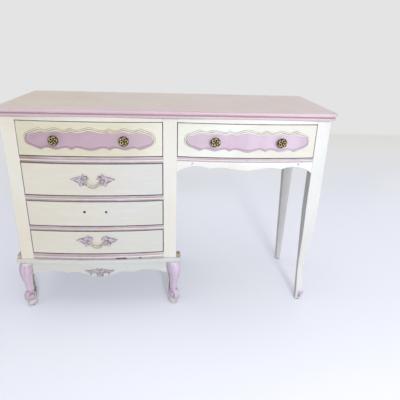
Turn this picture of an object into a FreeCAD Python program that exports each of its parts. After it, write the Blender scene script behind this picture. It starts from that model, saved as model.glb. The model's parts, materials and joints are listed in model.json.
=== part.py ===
import FreeCAD, Part
import math
import os

V = FreeCAD.Vector
os.makedirs("parts", exist_ok=True)

# A painted kneehole dressing table: a pedestal of four drawers on scroll feet at the left,
# a single drawer over a kneehole at the right, and one top over both.
# Millimetres, +Z up, +X to the sitter's right, and the drawer fronts face -Y.

# Case, seen from above
bank_w = 485.0  # clear opening between posts, the same for both banks of drawers
post_w = 45.0  # square outer posts and the right legs
centre_post_w = 48.0
case_depth = 390.0  # front faces of the posts to the back of the case
back_post_w = 34.0
side_panel_t = 12.0
side_panel_recess = 4.0
back_panel_t = 6.0
back_panel_recess = 6.0
bow = 14.0  # how far rails and drawer fronts swell out at mid bank
rail_depth = 60.0
knee_rail_t = 18.0  # thickness of the boards round the kneehole bank

# Case, from the floor up
glide_h = 4.0
foot_h = 197.0
base_board_t = 16.0
bottom_rail_h = 25.0
bottom_opening_h = 96.0
lower_rail_h = 18.0
third_opening_h = 99.0
middle_rail_h = 20.0
second_opening_h = 120.0
upper_rail_h = 23.0
upper_opening_h = 120.0
top_rail_h = 15.0
knee_drawer_rail_h = 15.0

# Top board
top_side_overhang = 22.0
top_front_overhang = 22.0
top_back_overhang = 38.0
top_corner_r = 35.0
top_lip_t = 12.0
top_cove_t = 4.0
top_bead_t = 9.0
top_cove_inset = 8.0
top_bead_inset = 4.0

# Base of the pedestal
base_side_overhang = 18.0
base_front_overhang = 6.0
moulding_w = 15.0
moulding_h = 15.0
moulding_return = 24.0  # length of the short return of board and moulding on the kneehole side
apron_t = 16.0
base_apron_inset = 5.0  # how far the apron's face lies behind the edge of the base board
base_apron_drop = 58.0
base_apron_end_drop = 50.0
base_apron_arch_drop = 29.0
base_apron_cusp_drop = 40.0
base_apron_lobe_drop = 37.0
base_apron_cusp_x = 124.0
base_apron_lobe_x = 82.0
base_apron_arch_x = 178.0
carving_half_w = 56.0
carving_h = 36.0
carving_t = 5.0
carving_top_gap = 12.0

# Kneehole apron
knee_apron_end_drop = 42.0
knee_apron_centre_drop = 30.0
knee_apron_lobe_drop = 20.0
knee_apron_cusp_drop = 26.0
knee_apron_arch_drop = 17.0
knee_apron_lobe_x = 98.0
knee_apron_cusp_x = 128.0
knee_apron_arch_x = 160.0

# Scroll feet, with radii measured outwards along the diagonal from the middle of the foot block
foot_block = 38.0
foot_block_h = 52.0
knee_out = 36.0
knee_back = 22.0
knee_z = 160.0
knee_half_w = 17.0
ankle_out = 21.0
ankle_back = 8.0
ankle_z = 90.0
ankle_half_w = 9.0
whorl_r = 25.0
whorl_out = 10.0
whorl_z = 46.0
whorl_w = 24.0
whorl_flare = 2.0  # by which the foot thickens again from ankle to whorl
pad_half = 13.0
glide_r = 9.0
back_foot_tip = 30.0

# Right legs, measured inwards from their two outer faces
leg_bend_z = 400.0
leg_shin_z = 225.0
leg_shin_in = 12.0
leg_ankle_z = 130.0
leg_ankle_in = 17.5
leg_toe_z = 38.0
leg_toe_in = 9.5
leg_sole_in = 13.0
leg_foot_inner = 34.0
back_leg_outer_tip = 15.0
back_leg_inner_tip = 34.0
back_leg_heel = 27.0  # from the back of the case to the heel of the back leg
back_leg_rake = 52.0  # from the back of the case to the front of its tip

# Drawers
front_t = 20.0  # thickness of a drawer front at its ends
front_gap = 1.5  # gap round a drawer front in its opening
drawer_side_t = 12.0
drawer_back_t = 12.0
drawer_bottom_t = 5.0
drawer_bottom_rise = 10.0
drawer_bottom_groove = 5.0
drawer_top_clear = 20.0
drawer_rear_clear = 10.0
run_clear = 0.3  # under the drawer sides
runner_h = 15.0
runner_ledge = 16.0

# Scalloped raised panel of the two upper drawer fronts
panel_end_margin = 24.0
panel_half_h = 38.0
panel_centre_lift = 2.5  # by which the middle hump stands above the others
panel_dip = 7.5  # of the hollows on both sides of each cusp
panel_hollow_w = 19.0  # from a cusp to the hollow beside it
panel_inner_cusp_x = 63.0
panel_outer_cusp_x = 165.0
panel_border = 11.0
panel_step = 3.5  # the height of each of the two steps by which the panel is raised
panel_rise = 1.0  # the panel and its knobs sit this far above the middle of the drawer

# Knobs and pulls
knob_spacing = 228.0
knob_r = 17.0
knob_foot_r = 9.0
knob_neck_r = 5.5
knob_projection = 28.0
knob_head_t = 11.0
knob_flange_t = 3.0
knob_rim = 3.0
knob_crown_r = 9.0
seat_allowance = 1.0  # left on a seat before it is cut to a swelling face
screw_r = 2.0
screw_hole_r = 2.75
thread_clear = 0.05
screw_head_r = 4.5
screw_head_h = 2.5
screw_grip = 8.0
screw_end_gap = 1.0
pull_spacing = 76.2
pull_rise = 8.5  # of the third and bottom drawers' pulls, above mid height
plate_t = 3.0
leaf_reach = 37.0
leaf_h = 24.0
leaf_curl = 24.0
leaf_drop = 22.0
leaf_waist = 9.0
leaf_swell = 0.16  # bulge of each leaf edge, as a share of its length
boss_r = 5.5
boss_projection = 14.0
bail_standoff = 9.0
bail_r = 3.2
bail_pin_r = 1.8
bail_pin_clear = 0.06
bail_pin_len = 7.0
bail_end_gap = 0.4
bail_drop = 27.0
bail_half_w = 14.0
bail_corner_r = 9.0
bail_shoulder = 5.0
bail_shoulder_r = 4.0
bail_pin_root = 1.0  # how far a pin starts inside the end of the rod

# Levels
base_bottom = foot_h
case_bottom = foot_h + base_board_t
bottom_z = case_bottom + bottom_rail_h
third_z = bottom_z + bottom_opening_h + lower_rail_h
second_z = third_z + third_opening_h + middle_rail_h
upper_z = second_z + second_opening_h + upper_rail_h
case_top = upper_z + upper_opening_h + top_rail_h
apron_top = upper_z - knee_drawer_rail_h

# Plan
half_w = centre_post_w / 2 + bank_w + post_w
bank_x = centre_post_w / 2 + bank_w / 2
front_reach = max(bow + knob_projection, top_front_overhang)
face = (front_reach - case_depth - top_back_overhang) / 2  # front faces of the posts
back = face + case_depth
front_back = face + front_t
drawer_end = back - knee_rail_t - drawer_rear_clear
left_panel_x = -half_w + side_panel_recess
knee_panel_x = centre_post_w / 2 - side_panel_recess
right_rail_x = half_w - side_panel_recess


def box(x0, x1, y0, y1, z0, z1):
    return Part.makeBox(x1 - x0, y1 - y0, z1 - z0, V(x0, y0, z0))


def rod(start, direction, radius, length):
    return Part.makeCylinder(radius, length, start, direction)


def bowed(x0, x1, z0, z1, y_front, y_back, swell=bow):
    """A board with a front that swells by an arc and a flat back."""
    middle = (x0 + x1) / 2
    arc = Part.Arc(V(x0, y_front, z0), V(middle, y_front - swell, z0), V(x1, y_front, z0)).toShape()
    corners = [(x1, y_front), (x1, y_back), (x0, y_back), (x0, y_front)]
    sides = Part.makePolygon([V(x, y, z0) for x, y in corners])
    return Part.Face(Part.Wire([arc] + sides.Edges)).extrude(V(0, 0, z1 - z0))


def arcs(points):
    """Arcs through the points: end, middle, end, middle, end and so on, as (x, z) pairs."""
    edges = []
    for i in range(0, len(points) - 2, 2):
        a, b, c = [V(x, 0, z) for x, z in points[i : i + 3]]
        edges.append(Part.Arc(a, b, c).toShape())
    return edges


def swollen(points, share):
    """Arcs between the points of a clockwise outline, bulging outwards by a share of their length."""
    edges = []
    for (x0, z0), (x1, z1) in zip(points, points[1:]):
        middle = V((x0 + x1) / 2 - share * (z1 - z0), 0, (z0 + z1) / 2 + share * (x1 - x0))
        edges.append(Part.Arc(V(x0, 0, z0), middle, V(x1, 0, z1)).toShape())
    return edges


def lines(points):
    return Part.makePolygon([V(x, 0, z) for x, z in points]).Edges


def smooth(points):
    curve = Part.BSplineCurve()
    curve.interpolate([V(x, 0, z) for x, z in points])
    return [curve.toShape()]


def prism(edges, y0, y1):
    """The closed outline in the XZ plane, from y0 to y1."""
    face_ = Part.Face(Part.Wire(edges))
    face_.translate(V(0, y0, 0))
    return face_.extrude(V(0, y1 - y0, 0))


def two_way(edges_x, edges_y, reach):
    """What a front outline and a side outline have in common, as a bandsawn leg."""
    side_cut = prism(edges_y, -reach, reach)
    side_cut.rotate(V(0, 0, 0), V(0, 0, 1), 90)
    return prism(edges_x, -reach, reach).common(side_cut)


def save(name, *solids):
    shape = solids[0] if len(solids) == 1 else Part.makeCompound(list(solids))
    shape.exportStep("parts/" + name + ".step")
    print(name, len(shape.Solids), shape.isValid(), round(shape.Volume / 1000, 1), "cm3")


# ---------------------------------------------------------------- case


def top_layer(inset, z0, z1):
    x = half_w + top_side_overhang - inset
    y0 = face - top_front_overhang + inset
    y1 = back + top_back_overhang
    layer = box(-x, x, y0, y1, z0, z1)
    corners = [e for e in layer.Edges if abs(e.tangentAt(e.FirstParameter).z) > 0.9 and e.BoundBox.YMin < 0]
    return layer.makeFillet(top_corner_r - inset, corners)


def top_board():
    bead_top = case_top + top_bead_t
    cove_top = bead_top + top_cove_t
    bead = top_layer(top_bead_inset, case_top, bead_top)
    cove = top_layer(top_cove_inset, bead_top, cove_top)
    lip = top_layer(0.0, cove_top, cove_top + top_lip_t)
    return bead.fuse(cove).fuse(lip).removeSplitter()


def bank_ends(centre):
    return centre - bank_w / 2, centre + bank_w / 2


def rail(centre, z0, z1):
    x0, x1 = bank_ends(centre)
    return bowed(x0, x1, z0, z1, face, face + rail_depth)


def save_case():
    inner = -centre_post_w / 2
    outer = centre_post_w / 2
    save("top_board", top_board())
    save("front_left_post", box(-half_w, -half_w + post_w, face, face + post_w, case_bottom, case_top))
    save("front_centre_post", box(inner, outer, face, face + post_w, case_bottom, case_top))
    back_y = back - back_post_w
    save("back_left_post", box(-half_w, -half_w + back_post_w, back_y, back, case_bottom, case_top))
    save("back_centre_post", box(outer - back_post_w, outer, back_y, back, case_bottom, case_top))
    panel_y = (face + post_w, back_y)
    save("left_side_panel", box(left_panel_x, left_panel_x + side_panel_t, *panel_y, case_bottom, case_top))
    inner_face = knee_panel_x - side_panel_t
    save("kneehole_side_panel", box(inner_face, knee_panel_x, *panel_y, case_bottom, case_top))
    panel_back = back - back_panel_recess
    x0 = -half_w + back_post_w
    x1 = outer - back_post_w
    save("pedestal_back_panel", box(x0, x1, panel_back - back_panel_t, panel_back, case_bottom, case_top))
    save("pedestal_top_rail", rail(-bank_x, case_top - top_rail_h, case_top))
    save("kneehole_top_rail", rail(bank_x, case_top - top_rail_h, case_top))
    save("drawer_rail_upper", rail(-bank_x, upper_z - upper_rail_h, upper_z))
    save("drawer_rail_middle", rail(-bank_x, second_z - middle_rail_h, second_z))
    save("drawer_rail_lower", rail(-bank_x, third_z - lower_rail_h, third_z))
    save("pedestal_bottom_rail", rail(-bank_x, case_bottom, bottom_z))
    save("kneehole_drawer_rail", rail(bank_x, apron_top, upper_z))
    leg_y = back - post_w
    inner_face = right_rail_x - knee_rail_t
    save("right_end_rail", box(inner_face, right_rail_x, face + post_w, leg_y, apron_top, case_top))
    save("kneehole_back_rail", box(outer, half_w - post_w, back - knee_rail_t, back, apron_top, case_top))


def kneehole_apron():
    end = bank_w / 2
    low = apron_top - knee_apron_end_drop
    cusp = (knee_apron_cusp_x, apron_top - knee_apron_cusp_drop)
    arch = (knee_apron_arch_x, apron_top - knee_apron_arch_drop)
    half = [
        (0.0, apron_top - knee_apron_centre_drop),
        (knee_apron_lobe_x, apron_top - knee_apron_lobe_drop),
        cusp,
        arch,
        (end, low),
    ]
    mirrored = [(-x, z) for x, z in half]
    edges = smooth([mirrored[2], mirrored[1], half[0], half[1], half[2]])
    edges += arcs(half[2:5])
    edges += lines([(end, low), (end, apron_top), (-end, apron_top), (-end, low)])
    edges += arcs([mirrored[4], mirrored[3], mirrored[2]])
    cut = prism(Part.__sortEdges__(edges), face - 2 * bow, face + rail_depth)
    cut.translate(V(bank_x, 0, 0))
    x0, x1 = bank_ends(bank_x)
    return bowed(x0, x1, low, apron_top, face, face + apron_t).common(cut)


# ---------------------------------------------------------------- base

pedestal_x = (centre_post_w / 2 - half_w) / 2
pedestal_half_w = (half_w + centre_post_w / 2) / 2
board_front = face - base_front_overhang


def base_board():
    """The board under the case. On the kneehole side it projects only as a short return at the front."""
    half = pedestal_half_w + base_side_overhang
    board = bowed(pedestal_x - half, pedestal_x + half, base_bottom, case_bottom, board_front, back)
    inner_x = pedestal_x + pedestal_half_w
    behind = box(inner_x, inner_x + base_side_overhang, face + moulding_return, back, base_bottom, case_bottom)
    return board.cut(behind)


def base_mouldings():
    """A strip along the outer side, and a short return on the kneehole side."""
    outer_x = pedestal_x - pedestal_half_w
    inner_x = pedestal_x + pedestal_half_w
    top = case_bottom + moulding_h
    outer = box(outer_x - moulding_w, outer_x, face, back, case_bottom, top)
    inner = box(inner_x, inner_x + moulding_w, face, face + moulding_return, case_bottom, top)
    return [outer, inner]


def base_apron_board():
    """The swelling board that the apron is sawn from, before its lower edge is shaped."""
    half = pedestal_half_w + base_side_overhang
    x0, x1 = pedestal_x - half, pedestal_x + half
    front = board_front + base_apron_inset
    board = bowed(x0, x1, base_bottom - base_apron_drop, base_bottom, front, face + apron_t)
    end = pedestal_half_w - foot_block
    return board.common(box(pedestal_x - end, pedestal_x + end, front - 2 * bow, back, 0, base_bottom))


def base_apron():
    end = pedestal_half_w - foot_block
    low = base_bottom - base_apron_end_drop
    right = [
        (0.0, base_bottom - base_apron_drop),
        (base_apron_lobe_x, base_bottom - base_apron_lobe_drop),
        (base_apron_cusp_x, base_bottom - base_apron_cusp_drop),
        (base_apron_arch_x, base_bottom - base_apron_arch_drop),
        (end, low),
    ]
    left = [(-x, z) for x, z in right]
    edges = smooth([left[2], left[1], right[0], right[1], right[2]])
    edges += arcs(right[2:5])
    edges += lines([(end, low), (end, base_bottom), (-end, base_bottom), (-end, low)])
    edges += arcs([left[4], left[3], left[2]])
    cut = prism(Part.__sortEdges__(edges), face - 3 * bow, back)
    cut.translate(V(pedestal_x, 0, 0))
    return base_apron_board().common(cut)


def apron_carving():
    """A spray: two drooping wings and a leaf between them, laid on the swelling apron."""
    top = base_bottom - carving_top_gap
    arm = top - carving_h * 0.3
    half = [
        (carving_half_w * 0.45, top),
        (carving_half_w, top - carving_h * 0.1),
        (carving_half_w * 0.65, arm),
        (carving_half_w * 0.3, arm),
        (carving_half_w * 0.25, top - carving_h * 0.7),
    ]
    other = [(-x, z) for x, z in reversed(half)]
    outline = [(0.0, top)] + half + [(0.0, top - carving_h)] + other + [(0.0, top)]
    front = board_front + base_apron_inset - bow
    spray = prism(swollen(outline, leaf_swell), front - carving_t, front + bow)
    spray.translate(V(pedestal_x, 0, 0))
    return spray.cut(base_apron_board())


def scroll_foot():
    """A scroll foot about its own vertical axis, with its toe towards +X."""
    shoulder = foot_block / 2
    outer = [
        (shoulder, foot_h),
        (knee_out, knee_z),
        ((knee_out + ankle_out) / 2, (knee_z + ankle_z) / 2),
        (ankle_out, ankle_z),
        (ankle_out + whorl_flare, whorl_z),
    ]
    inner = [
        (-ankle_back, whorl_z),
        (-ankle_back, ankle_z),
        (-(knee_back + ankle_back) / 2, (knee_z + ankle_z) / 2),
        (-knee_back, knee_z),
        (-shoulder, foot_h),
    ]
    side_view = smooth(outer) + lines([outer[-1], inner[0]]) + smooth(inner) + lines([inner[-1], outer[0]])
    flank = [
        (shoulder, foot_h),
        (knee_half_w, knee_z),
        (ankle_half_w, ankle_z),
        (ankle_half_w + whorl_flare, whorl_z),
    ]
    other = [(-x, z) for x, z in reversed(flank)]
    front_view = smooth(flank) + lines([flank[-1], other[0]]) + smooth(other) + lines([other[-1], flank[0]])
    stem = two_way(side_view, front_view, foot_block * 2)
    whorl = rod(V(whorl_out, -whorl_w / 2, whorl_z), V(0, 1, 0), whorl_r, whorl_w)
    pad = box(whorl_out - pad_half, whorl_out + pad_half, -whorl_w / 2, whorl_w / 2, glide_h, whorl_z)
    return stem.fuse(whorl).fuse(pad)


def front_foot(x, toe_angle):
    """A scroll foot below a square block in the corner of the base, cut away where the apron butts on it."""
    foot = scroll_foot()
    foot.rotate(V(0, 0, 0), V(0, 0, 1), toe_angle)
    half = foot_block / 2
    foot = foot.fuse(box(-half, half, -half, half, foot_h - foot_block_h, foot_h)).removeSplitter()
    foot.translate(V(x, face + half, 0))
    return foot.cut(base_apron_board())


def tapered(x, y, top, tip, z0, z1):
    upper = Part.makePolygon([V(x + i * top / 2, y + j * top / 2, z1) for i, j in square])
    lower = Part.makePolygon([V(x + i * tip / 2, y + j * tip / 2, z0) for i, j in square])
    return Part.makeLoft([lower, upper], True, True)


square = ((-1, -1), (1, -1), (1, 1), (-1, 1), (-1, -1))
foot_x = (-half_w + foot_block / 2, centre_post_w / 2 - foot_block / 2)
back_foot_y = back - foot_block / 2


def front_leg():
    """The front right leg: square above, bent to a slim ankle and a turned-out toe below."""
    curve = [
        (0.0, leg_bend_z),
        (leg_shin_in, leg_shin_z),
        (leg_ankle_in, leg_ankle_z),
        (leg_toe_in, leg_toe_z),
        (leg_sole_in, glide_h),
    ]
    straight = [(post_w, leg_bend_z), (post_w, case_top), (0.0, case_top)]
    rest = [curve[-1], (leg_foot_inner, glide_h)] + straight + [curve[0]]
    leg = two_way(smooth(curve) + lines(rest), smooth(curve) + lines(rest), post_w * 2)
    leg.rotate(V(0, 0, 0), V(0, 0, 1), 90)
    leg.translate(V(half_w, face, 0))
    return leg


def back_leg():
    """The back right leg: square above, tapered from the kneehole rail down and raked forward."""
    outlines = []
    for outer_tip, inner_tip in ((back_leg_outer_tip, back_leg_inner_tip), (back_leg_heel, back_leg_rake)):
        spots = [
            (0.0, case_top),
            (0.0, apron_top),
            (outer_tip, glide_h),
            (inner_tip, glide_h),
            (post_w, apron_top),
            (post_w, case_top),
            (0.0, case_top),
        ]
        outlines.append(lines(spots))
    leg = two_way(*outlines, post_w * 2)
    leg.rotate(V(0, 0, 0), V(0, 0, 1), 180)
    leg.translate(V(half_w, back, 0))
    return leg


def glides():
    leg_mid = (leg_sole_in + leg_foot_inner) / 2
    back_mid_x = (back_leg_outer_tip + back_leg_inner_tip) / 2
    back_mid_y = (back_leg_heel + back_leg_rake) / 2
    toe = whorl_out / math.sqrt(2)
    block = face + foot_block / 2
    spots = [
        (foot_x[0] - toe, block - toe),
        (foot_x[1] + toe, block - toe),
        (foot_x[0], back_foot_y),
        (foot_x[1], back_foot_y),
        (half_w - leg_mid, face + leg_mid),
        (half_w - back_mid_x, back - back_mid_y),
    ]
    return [rod(V(x, y, 0), V(0, 0, 1), glide_r, glide_h) for x, y in spots]


def save_base():
    save("kneehole_apron", kneehole_apron())
    save("base_board", base_board())
    save("base_mouldings", *base_mouldings())
    save("base_apron", base_apron())
    save("apron_carving", apron_carving())
    save("front_left_foot", front_foot(foot_x[0], 225))
    save("front_inner_foot", front_foot(foot_x[1], 315))
    save("back_left_foot", tapered(foot_x[0], back_foot_y, foot_block, back_foot_tip, glide_h, foot_h))
    save("back_inner_foot", tapered(foot_x[1], back_foot_y, foot_block, back_foot_tip, glide_h, foot_h))
    save("front_right_leg", front_leg())
    save("back_right_leg", back_leg())
    save("glides", *glides())


# ---------------------------------------------------------------- drawers


def runners():
    """Two ledges under each drawer, from the rail in front to the post behind."""
    ledges = []
    start = face + rail_depth
    end = back - back_post_w
    x0, x1 = bank_ends(-bank_x)
    for z in (bottom_z, third_z, second_z, upper_z):
        ledges.append(box(left_panel_x + side_panel_t, x0 + runner_ledge, start, end, z - runner_h, z))
        ledges.append(box(x1 - runner_ledge, knee_panel_x - side_panel_t, start, end, z - runner_h, z))
    x0, x1 = bank_ends(bank_x)
    z = upper_z
    ledges.append(box(knee_panel_x, x0 + runner_ledge, start, end, z - runner_h, z))
    ledges.append(box(x1 - runner_ledge, right_rail_x - knee_rail_t, start, back - post_w, z - runner_h, z))
    return ledges


def screw_hole(x, z):
    return rod(V(x, face - 2 * bow, z), V(0, 1, 0), screw_hole_r, 2 * bow + 2 * front_t)


def plain_front(centre, z0, height):
    x0, x1 = bank_ends(centre)
    board = bowed(x0, x1, z0 + front_gap, z0 + height - front_gap, face, front_back)
    return board.common(box(x0 + front_gap, x1 - front_gap, face - 2 * bow, front_back, z0, z0 + height))


def panel_outline(inset):
    """The scalloped outline: rounded humps between cusps that point outwards, and a blunt tip at each end."""
    hump = panel_half_h
    hollow = hump - panel_dip
    inner = panel_inner_cusp_x
    outer = panel_outer_cusp_x
    tip = bank_w / 2 - panel_end_margin
    blunt = (tip - panel_hollow_w * 0.35, hump * 0.45)
    middle = [(0.0, hump + panel_centre_lift), (inner - panel_hollow_w, hollow), (inner, hump)]
    side = [
        (inner, hump),
        (inner + panel_hollow_w, hollow),
        ((inner + outer) / 2, hump),
        (outer - panel_hollow_w, hollow),
        (outer, hump),
    ]
    end = [(outer, hump), (outer + panel_hollow_w, hollow), blunt, (tip, 0.0)]
    runs = [
        [(-x, z) for x, z in reversed(middle[1:])] + middle,
        side,
        end + [(x, -z) for x, z in reversed(end[:-1])],
        [(x, -z) for x, z in reversed(side)],
    ]
    scale_x = (tip - inset) / tip
    scale_z = (hump - inset) / hump
    edges = []
    for turn in (1, -1):
        for run in runs:
            edges += smooth([(turn * x * scale_x, turn * z * scale_z) for x, z in run])
    return edges


def panelled_front(centre, z0, height):
    """A drawer front with its scalloped panel raised in two steps that follow the swell."""
    front = plain_front(centre, z0, height)
    x0, x1 = bank_ends(centre)
    middle = z0 + height / 2 + panel_rise
    for step, inset in ((panel_step, 0.0), (2 * panel_step, panel_border)):
        field = prism(panel_outline(inset), face - 2 * bow, front_back)
        field.translate(V(centre, 0, middle))
        front = front.fuse(field.common(bowed(x0, x1, z0, z0 + height, face - step, front_back)))
    return front.removeSplitter()


def drawer_box(centre, z0, height):
    """Two sides, a back and a bottom let into grooves."""
    x0, x1 = bank_ends(centre)
    x0 += front_gap
    x1 -= front_gap
    low = z0 + run_clear
    high = z0 + height - drawer_top_clear
    floor_z = low + drawer_bottom_rise
    inner = drawer_end - drawer_back_t
    groove = drawer_side_t - drawer_bottom_groove
    bottom = box(x0 + groove, x1 - groove, front_back, inner, floor_z, floor_z + drawer_bottom_t)
    sides = [
        box(x0, x0 + drawer_side_t, front_back, drawer_end, low, high).cut(bottom),
        box(x1 - drawer_side_t, x1, front_back, drawer_end, low, high).cut(bottom),
    ]
    rear = box(x0 + drawer_side_t, x1 - drawer_side_t, inner, drawer_end, low, high)
    return sides, rear, bottom


def screws(centre, z, half, tip_y):
    out = []
    for x in (centre - half, centre + half):
        shank = rod(V(x, tip_y, z), V(0, 1, 0), screw_r, front_back - tip_y)
        head = rod(V(x, front_back, z), V(0, 1, 0), screw_head_r, screw_head_h)
        out.append(shank.fuse(head).removeSplitter())
    return out


def swell_at(offset):
    """How far in front of the posts the swelling face stands, at this distance from mid bank."""
    half = bank_w / 2
    radius = (half**2 + bow**2) / (2 * bow)
    return bow - radius + math.sqrt(radius**2 - offset**2)


knob_seat = face - 2 * panel_step - swell_at(knob_spacing / 2)


def knob(x, z):
    """A turned knob whose foot stands on the raised panel."""
    seat = knob_seat + seat_allowance
    tip = face - bow - knob_projection
    head_back = tip + knob_head_t
    profile = [
        V(0, seat, 0),
        V(knob_foot_r, seat, 0),
        V(knob_foot_r, seat - knob_flange_t, 0),
        V(knob_neck_r, seat - 2 * knob_flange_t, 0),
        V(knob_neck_r, head_back, 0),
        V(knob_r, head_back - knob_rim, 0),
        V(knob_r, tip + knob_rim, 0),
        V(knob_crown_r, tip, 0),
        V(0, tip, 0),
        V(0, seat, 0),
    ]
    solid = Part.Face(Part.makePolygon(profile)).revolve(V(0, 0, 0), V(0, 1, 0), 360)
    solid.translate(V(x, 0, z))
    depth = screw_grip + screw_end_gap
    hole = rod(V(x, knob_seat - depth, z), V(0, 1, 0), screw_r + thread_clear, depth + bow)
    return solid.cut(hole)


def knobs(centre, z, front):
    """Two knobs, with their feet cut to the face that they stand on."""
    return [knob(centre + side * knob_spacing / 2, z).cut(front) for side in (-1, 1)]


def leaf_outline():
    """The left leaf plate about its boss: a pointed leaf out, one up, one down and a curl inwards."""
    inner_x = leaf_curl * 0.5
    outer_x = -leaf_reach * 0.3
    spots = [
        (-leaf_reach, leaf_waist * 0.6),
        (outer_x, leaf_waist),
        (leaf_waist * 0.5, leaf_h),
        (inner_x, leaf_waist),
        (leaf_curl, leaf_waist * 0.4),
        (inner_x, -leaf_waist * 0.7),
        (0.0, -leaf_drop),
        (outer_x, -leaf_waist * 0.8),
        (-leaf_reach, leaf_waist * 0.6),
    ]
    return swollen(spots, leaf_swell)


def pull_plates(centre, z, front):
    """Two mirrored leaf plates, each with the boss that carries one end of the bail."""
    crown = face - bow
    axis_y = crown - bail_standoff
    out = []
    for side in (-1, 1):
        plate = prism(leaf_outline(), crown - plate_t, face)
        if side > 0:
            plate = plate.mirror(V(0, 0, 0), V(1, 0, 0))
        x = centre + side * pull_spacing / 2
        plate.translate(V(x, 0, z))
        boss = rod(V(x, crown - boss_projection, z), V(0, 1, 0), boss_r, boss_projection + bow)
        solid = plate.fuse(boss).cut(front)
        socket_r = bail_pin_r + bail_pin_clear
        socket = rod(V(x - side * boss_r * 2, axis_y, z), V(side, 0, 0), socket_r, boss_r + bail_pin_len)
        hole = rod(V(x, crown - plate_t, z), V(0, 1, 0), screw_r + thread_clear, plate_t + bow)
        out.append(solid.cut(socket).cut(hole).removeSplitter())
    return out


def rounded_path(points, radii):
    """A path of straight runs with an arc of the given radius at each inner point."""
    edges = []
    last = points[0]
    for i, radius in enumerate(radii):
        corner = points[i + 1]
        back_dir = (points[i] - corner).normalize()
        on_dir = (points[i + 2] - corner).normalize()
        half_angle = back_dir.getAngle(on_dir) / 2
        reach = radius / math.tan(half_angle)
        start = corner + back_dir * reach
        end = corner + on_dir * reach
        inward = (back_dir + on_dir).normalize()
        middle = corner + inward * (radius / math.sin(half_angle) - radius)
        edges.append(Part.LineSegment(last, start).toShape())
        edges.append(Part.Arc(start, middle, end).toShape())
        last = end
    edges.append(Part.LineSegment(last, points[-1]).toShape())
    return Part.Wire(edges)


def bail(centre, z):
    """A drop handle bent from one rod, with a pin at each end for the bosses."""
    y = face - bow - bail_standoff
    inner = pull_spacing / 2 - boss_r - bail_end_gap
    bend = inner - bail_shoulder
    spots = [
        (-inner, 0.0),
        (-bend, 0.0),
        (-bail_half_w, -bail_drop),
        (bail_half_w, -bail_drop),
        (bend, 0.0),
        (inner, 0.0),
    ]
    points = [V(centre + x, y, z + dz) for x, dz in spots]
    path = rounded_path(points, (bail_shoulder_r, bail_corner_r, bail_corner_r, bail_shoulder_r))
    section = Part.Wire(Part.Circle(points[0], V(1, 0, 0), bail_r).toShape())
    solid = path.makePipeShell([section], True, False)
    for side in (-1, 1):
        start = V(centre + side * (inner - bail_pin_root), y, z)
        pin_len = bail_pin_root + bail_end_gap + bail_pin_len
        solid = solid.fuse(rod(start, V(side, 0, 0), bail_pin_r, pin_len))
    return solid.removeSplitter()


def save_drawer(name, centre, front, z0, height):
    sides, rear, bottom = drawer_box(centre, z0, height)
    save(name + "_front", front)
    save(name + "_sides", *sides)
    save(name + "_back", rear)
    save(name + "_bottom", bottom)


def save_knob_drawer(name, centre):
    z = upper_z + upper_opening_h / 2 + panel_rise
    front = panelled_front(centre, upper_z, upper_opening_h)
    pair = knobs(centre, z, front)
    for side in (-1, 1):
        front = front.cut(screw_hole(centre + side * knob_spacing / 2, z))
    save_drawer(name + "_drawer", centre, front, upper_z, upper_opening_h)
    save(name + "_knobs", *pair)
    save(name + "_screws", *screws(centre, z, knob_spacing / 2, knob_seat - screw_grip))


def save_pull_drawer(name, z0, height, rise, fitted):
    """A pedestal drawer with a bail pull, or only the two holes for one."""
    z = z0 + height / 2 + rise
    front = plain_front(-bank_x, z0, height)
    plates = pull_plates(-bank_x, z, front) if fitted else []
    for side in (-1, 1):
        front = front.cut(screw_hole(-bank_x + side * pull_spacing / 2, z))
    save_drawer(name + "_drawer", -bank_x, front, z0, height)
    if fitted:
        save(name + "_pull_plates", *plates)
        save(name + "_bail", bail(-bank_x, z))
        save(name + "_screws", *screws(-bank_x, z, pull_spacing / 2, face - bow - plate_t + screw_end_gap))


save_case()
save_base()
save("drawer_runners", *runners())
save_knob_drawer("upper", -bank_x)
save_knob_drawer("kneehole", bank_x)
save_pull_drawer("second", second_z, second_opening_h, 0.0, True)
save_pull_drawer("third", third_z, third_opening_h, pull_rise, False)
save_pull_drawer("bottom", bottom_z, bottom_opening_h, pull_rise, True)
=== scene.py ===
import json
import math

import bmesh
import bpy
from mathutils import Matrix, Vector
from mathutils.geometry import interpolate_bezier

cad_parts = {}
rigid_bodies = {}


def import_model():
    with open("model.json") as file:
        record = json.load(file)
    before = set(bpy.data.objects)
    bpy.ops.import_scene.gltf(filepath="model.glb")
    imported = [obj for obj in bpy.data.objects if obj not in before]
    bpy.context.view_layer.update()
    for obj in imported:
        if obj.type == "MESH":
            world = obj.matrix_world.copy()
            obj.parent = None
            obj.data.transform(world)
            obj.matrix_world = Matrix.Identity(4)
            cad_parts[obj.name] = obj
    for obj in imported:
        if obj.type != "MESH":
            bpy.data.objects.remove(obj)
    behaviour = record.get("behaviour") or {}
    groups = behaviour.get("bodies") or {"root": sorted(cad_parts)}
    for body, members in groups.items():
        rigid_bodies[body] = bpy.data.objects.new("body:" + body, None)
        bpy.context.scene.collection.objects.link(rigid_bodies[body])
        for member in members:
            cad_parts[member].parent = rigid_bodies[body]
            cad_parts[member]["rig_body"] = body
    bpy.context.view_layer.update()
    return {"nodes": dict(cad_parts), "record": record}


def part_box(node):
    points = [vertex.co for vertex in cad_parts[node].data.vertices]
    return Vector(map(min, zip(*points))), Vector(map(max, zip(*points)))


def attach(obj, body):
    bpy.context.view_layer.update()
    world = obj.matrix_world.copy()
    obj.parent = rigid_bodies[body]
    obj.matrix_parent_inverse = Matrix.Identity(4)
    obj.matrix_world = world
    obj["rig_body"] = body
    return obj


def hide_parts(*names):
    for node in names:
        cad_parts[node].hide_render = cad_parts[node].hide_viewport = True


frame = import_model()
nodes = frame["nodes"]
MM = 0.001
UP = Vector((0, 0, 1))
FORWARD = Vector((0, -1, 0))
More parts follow.
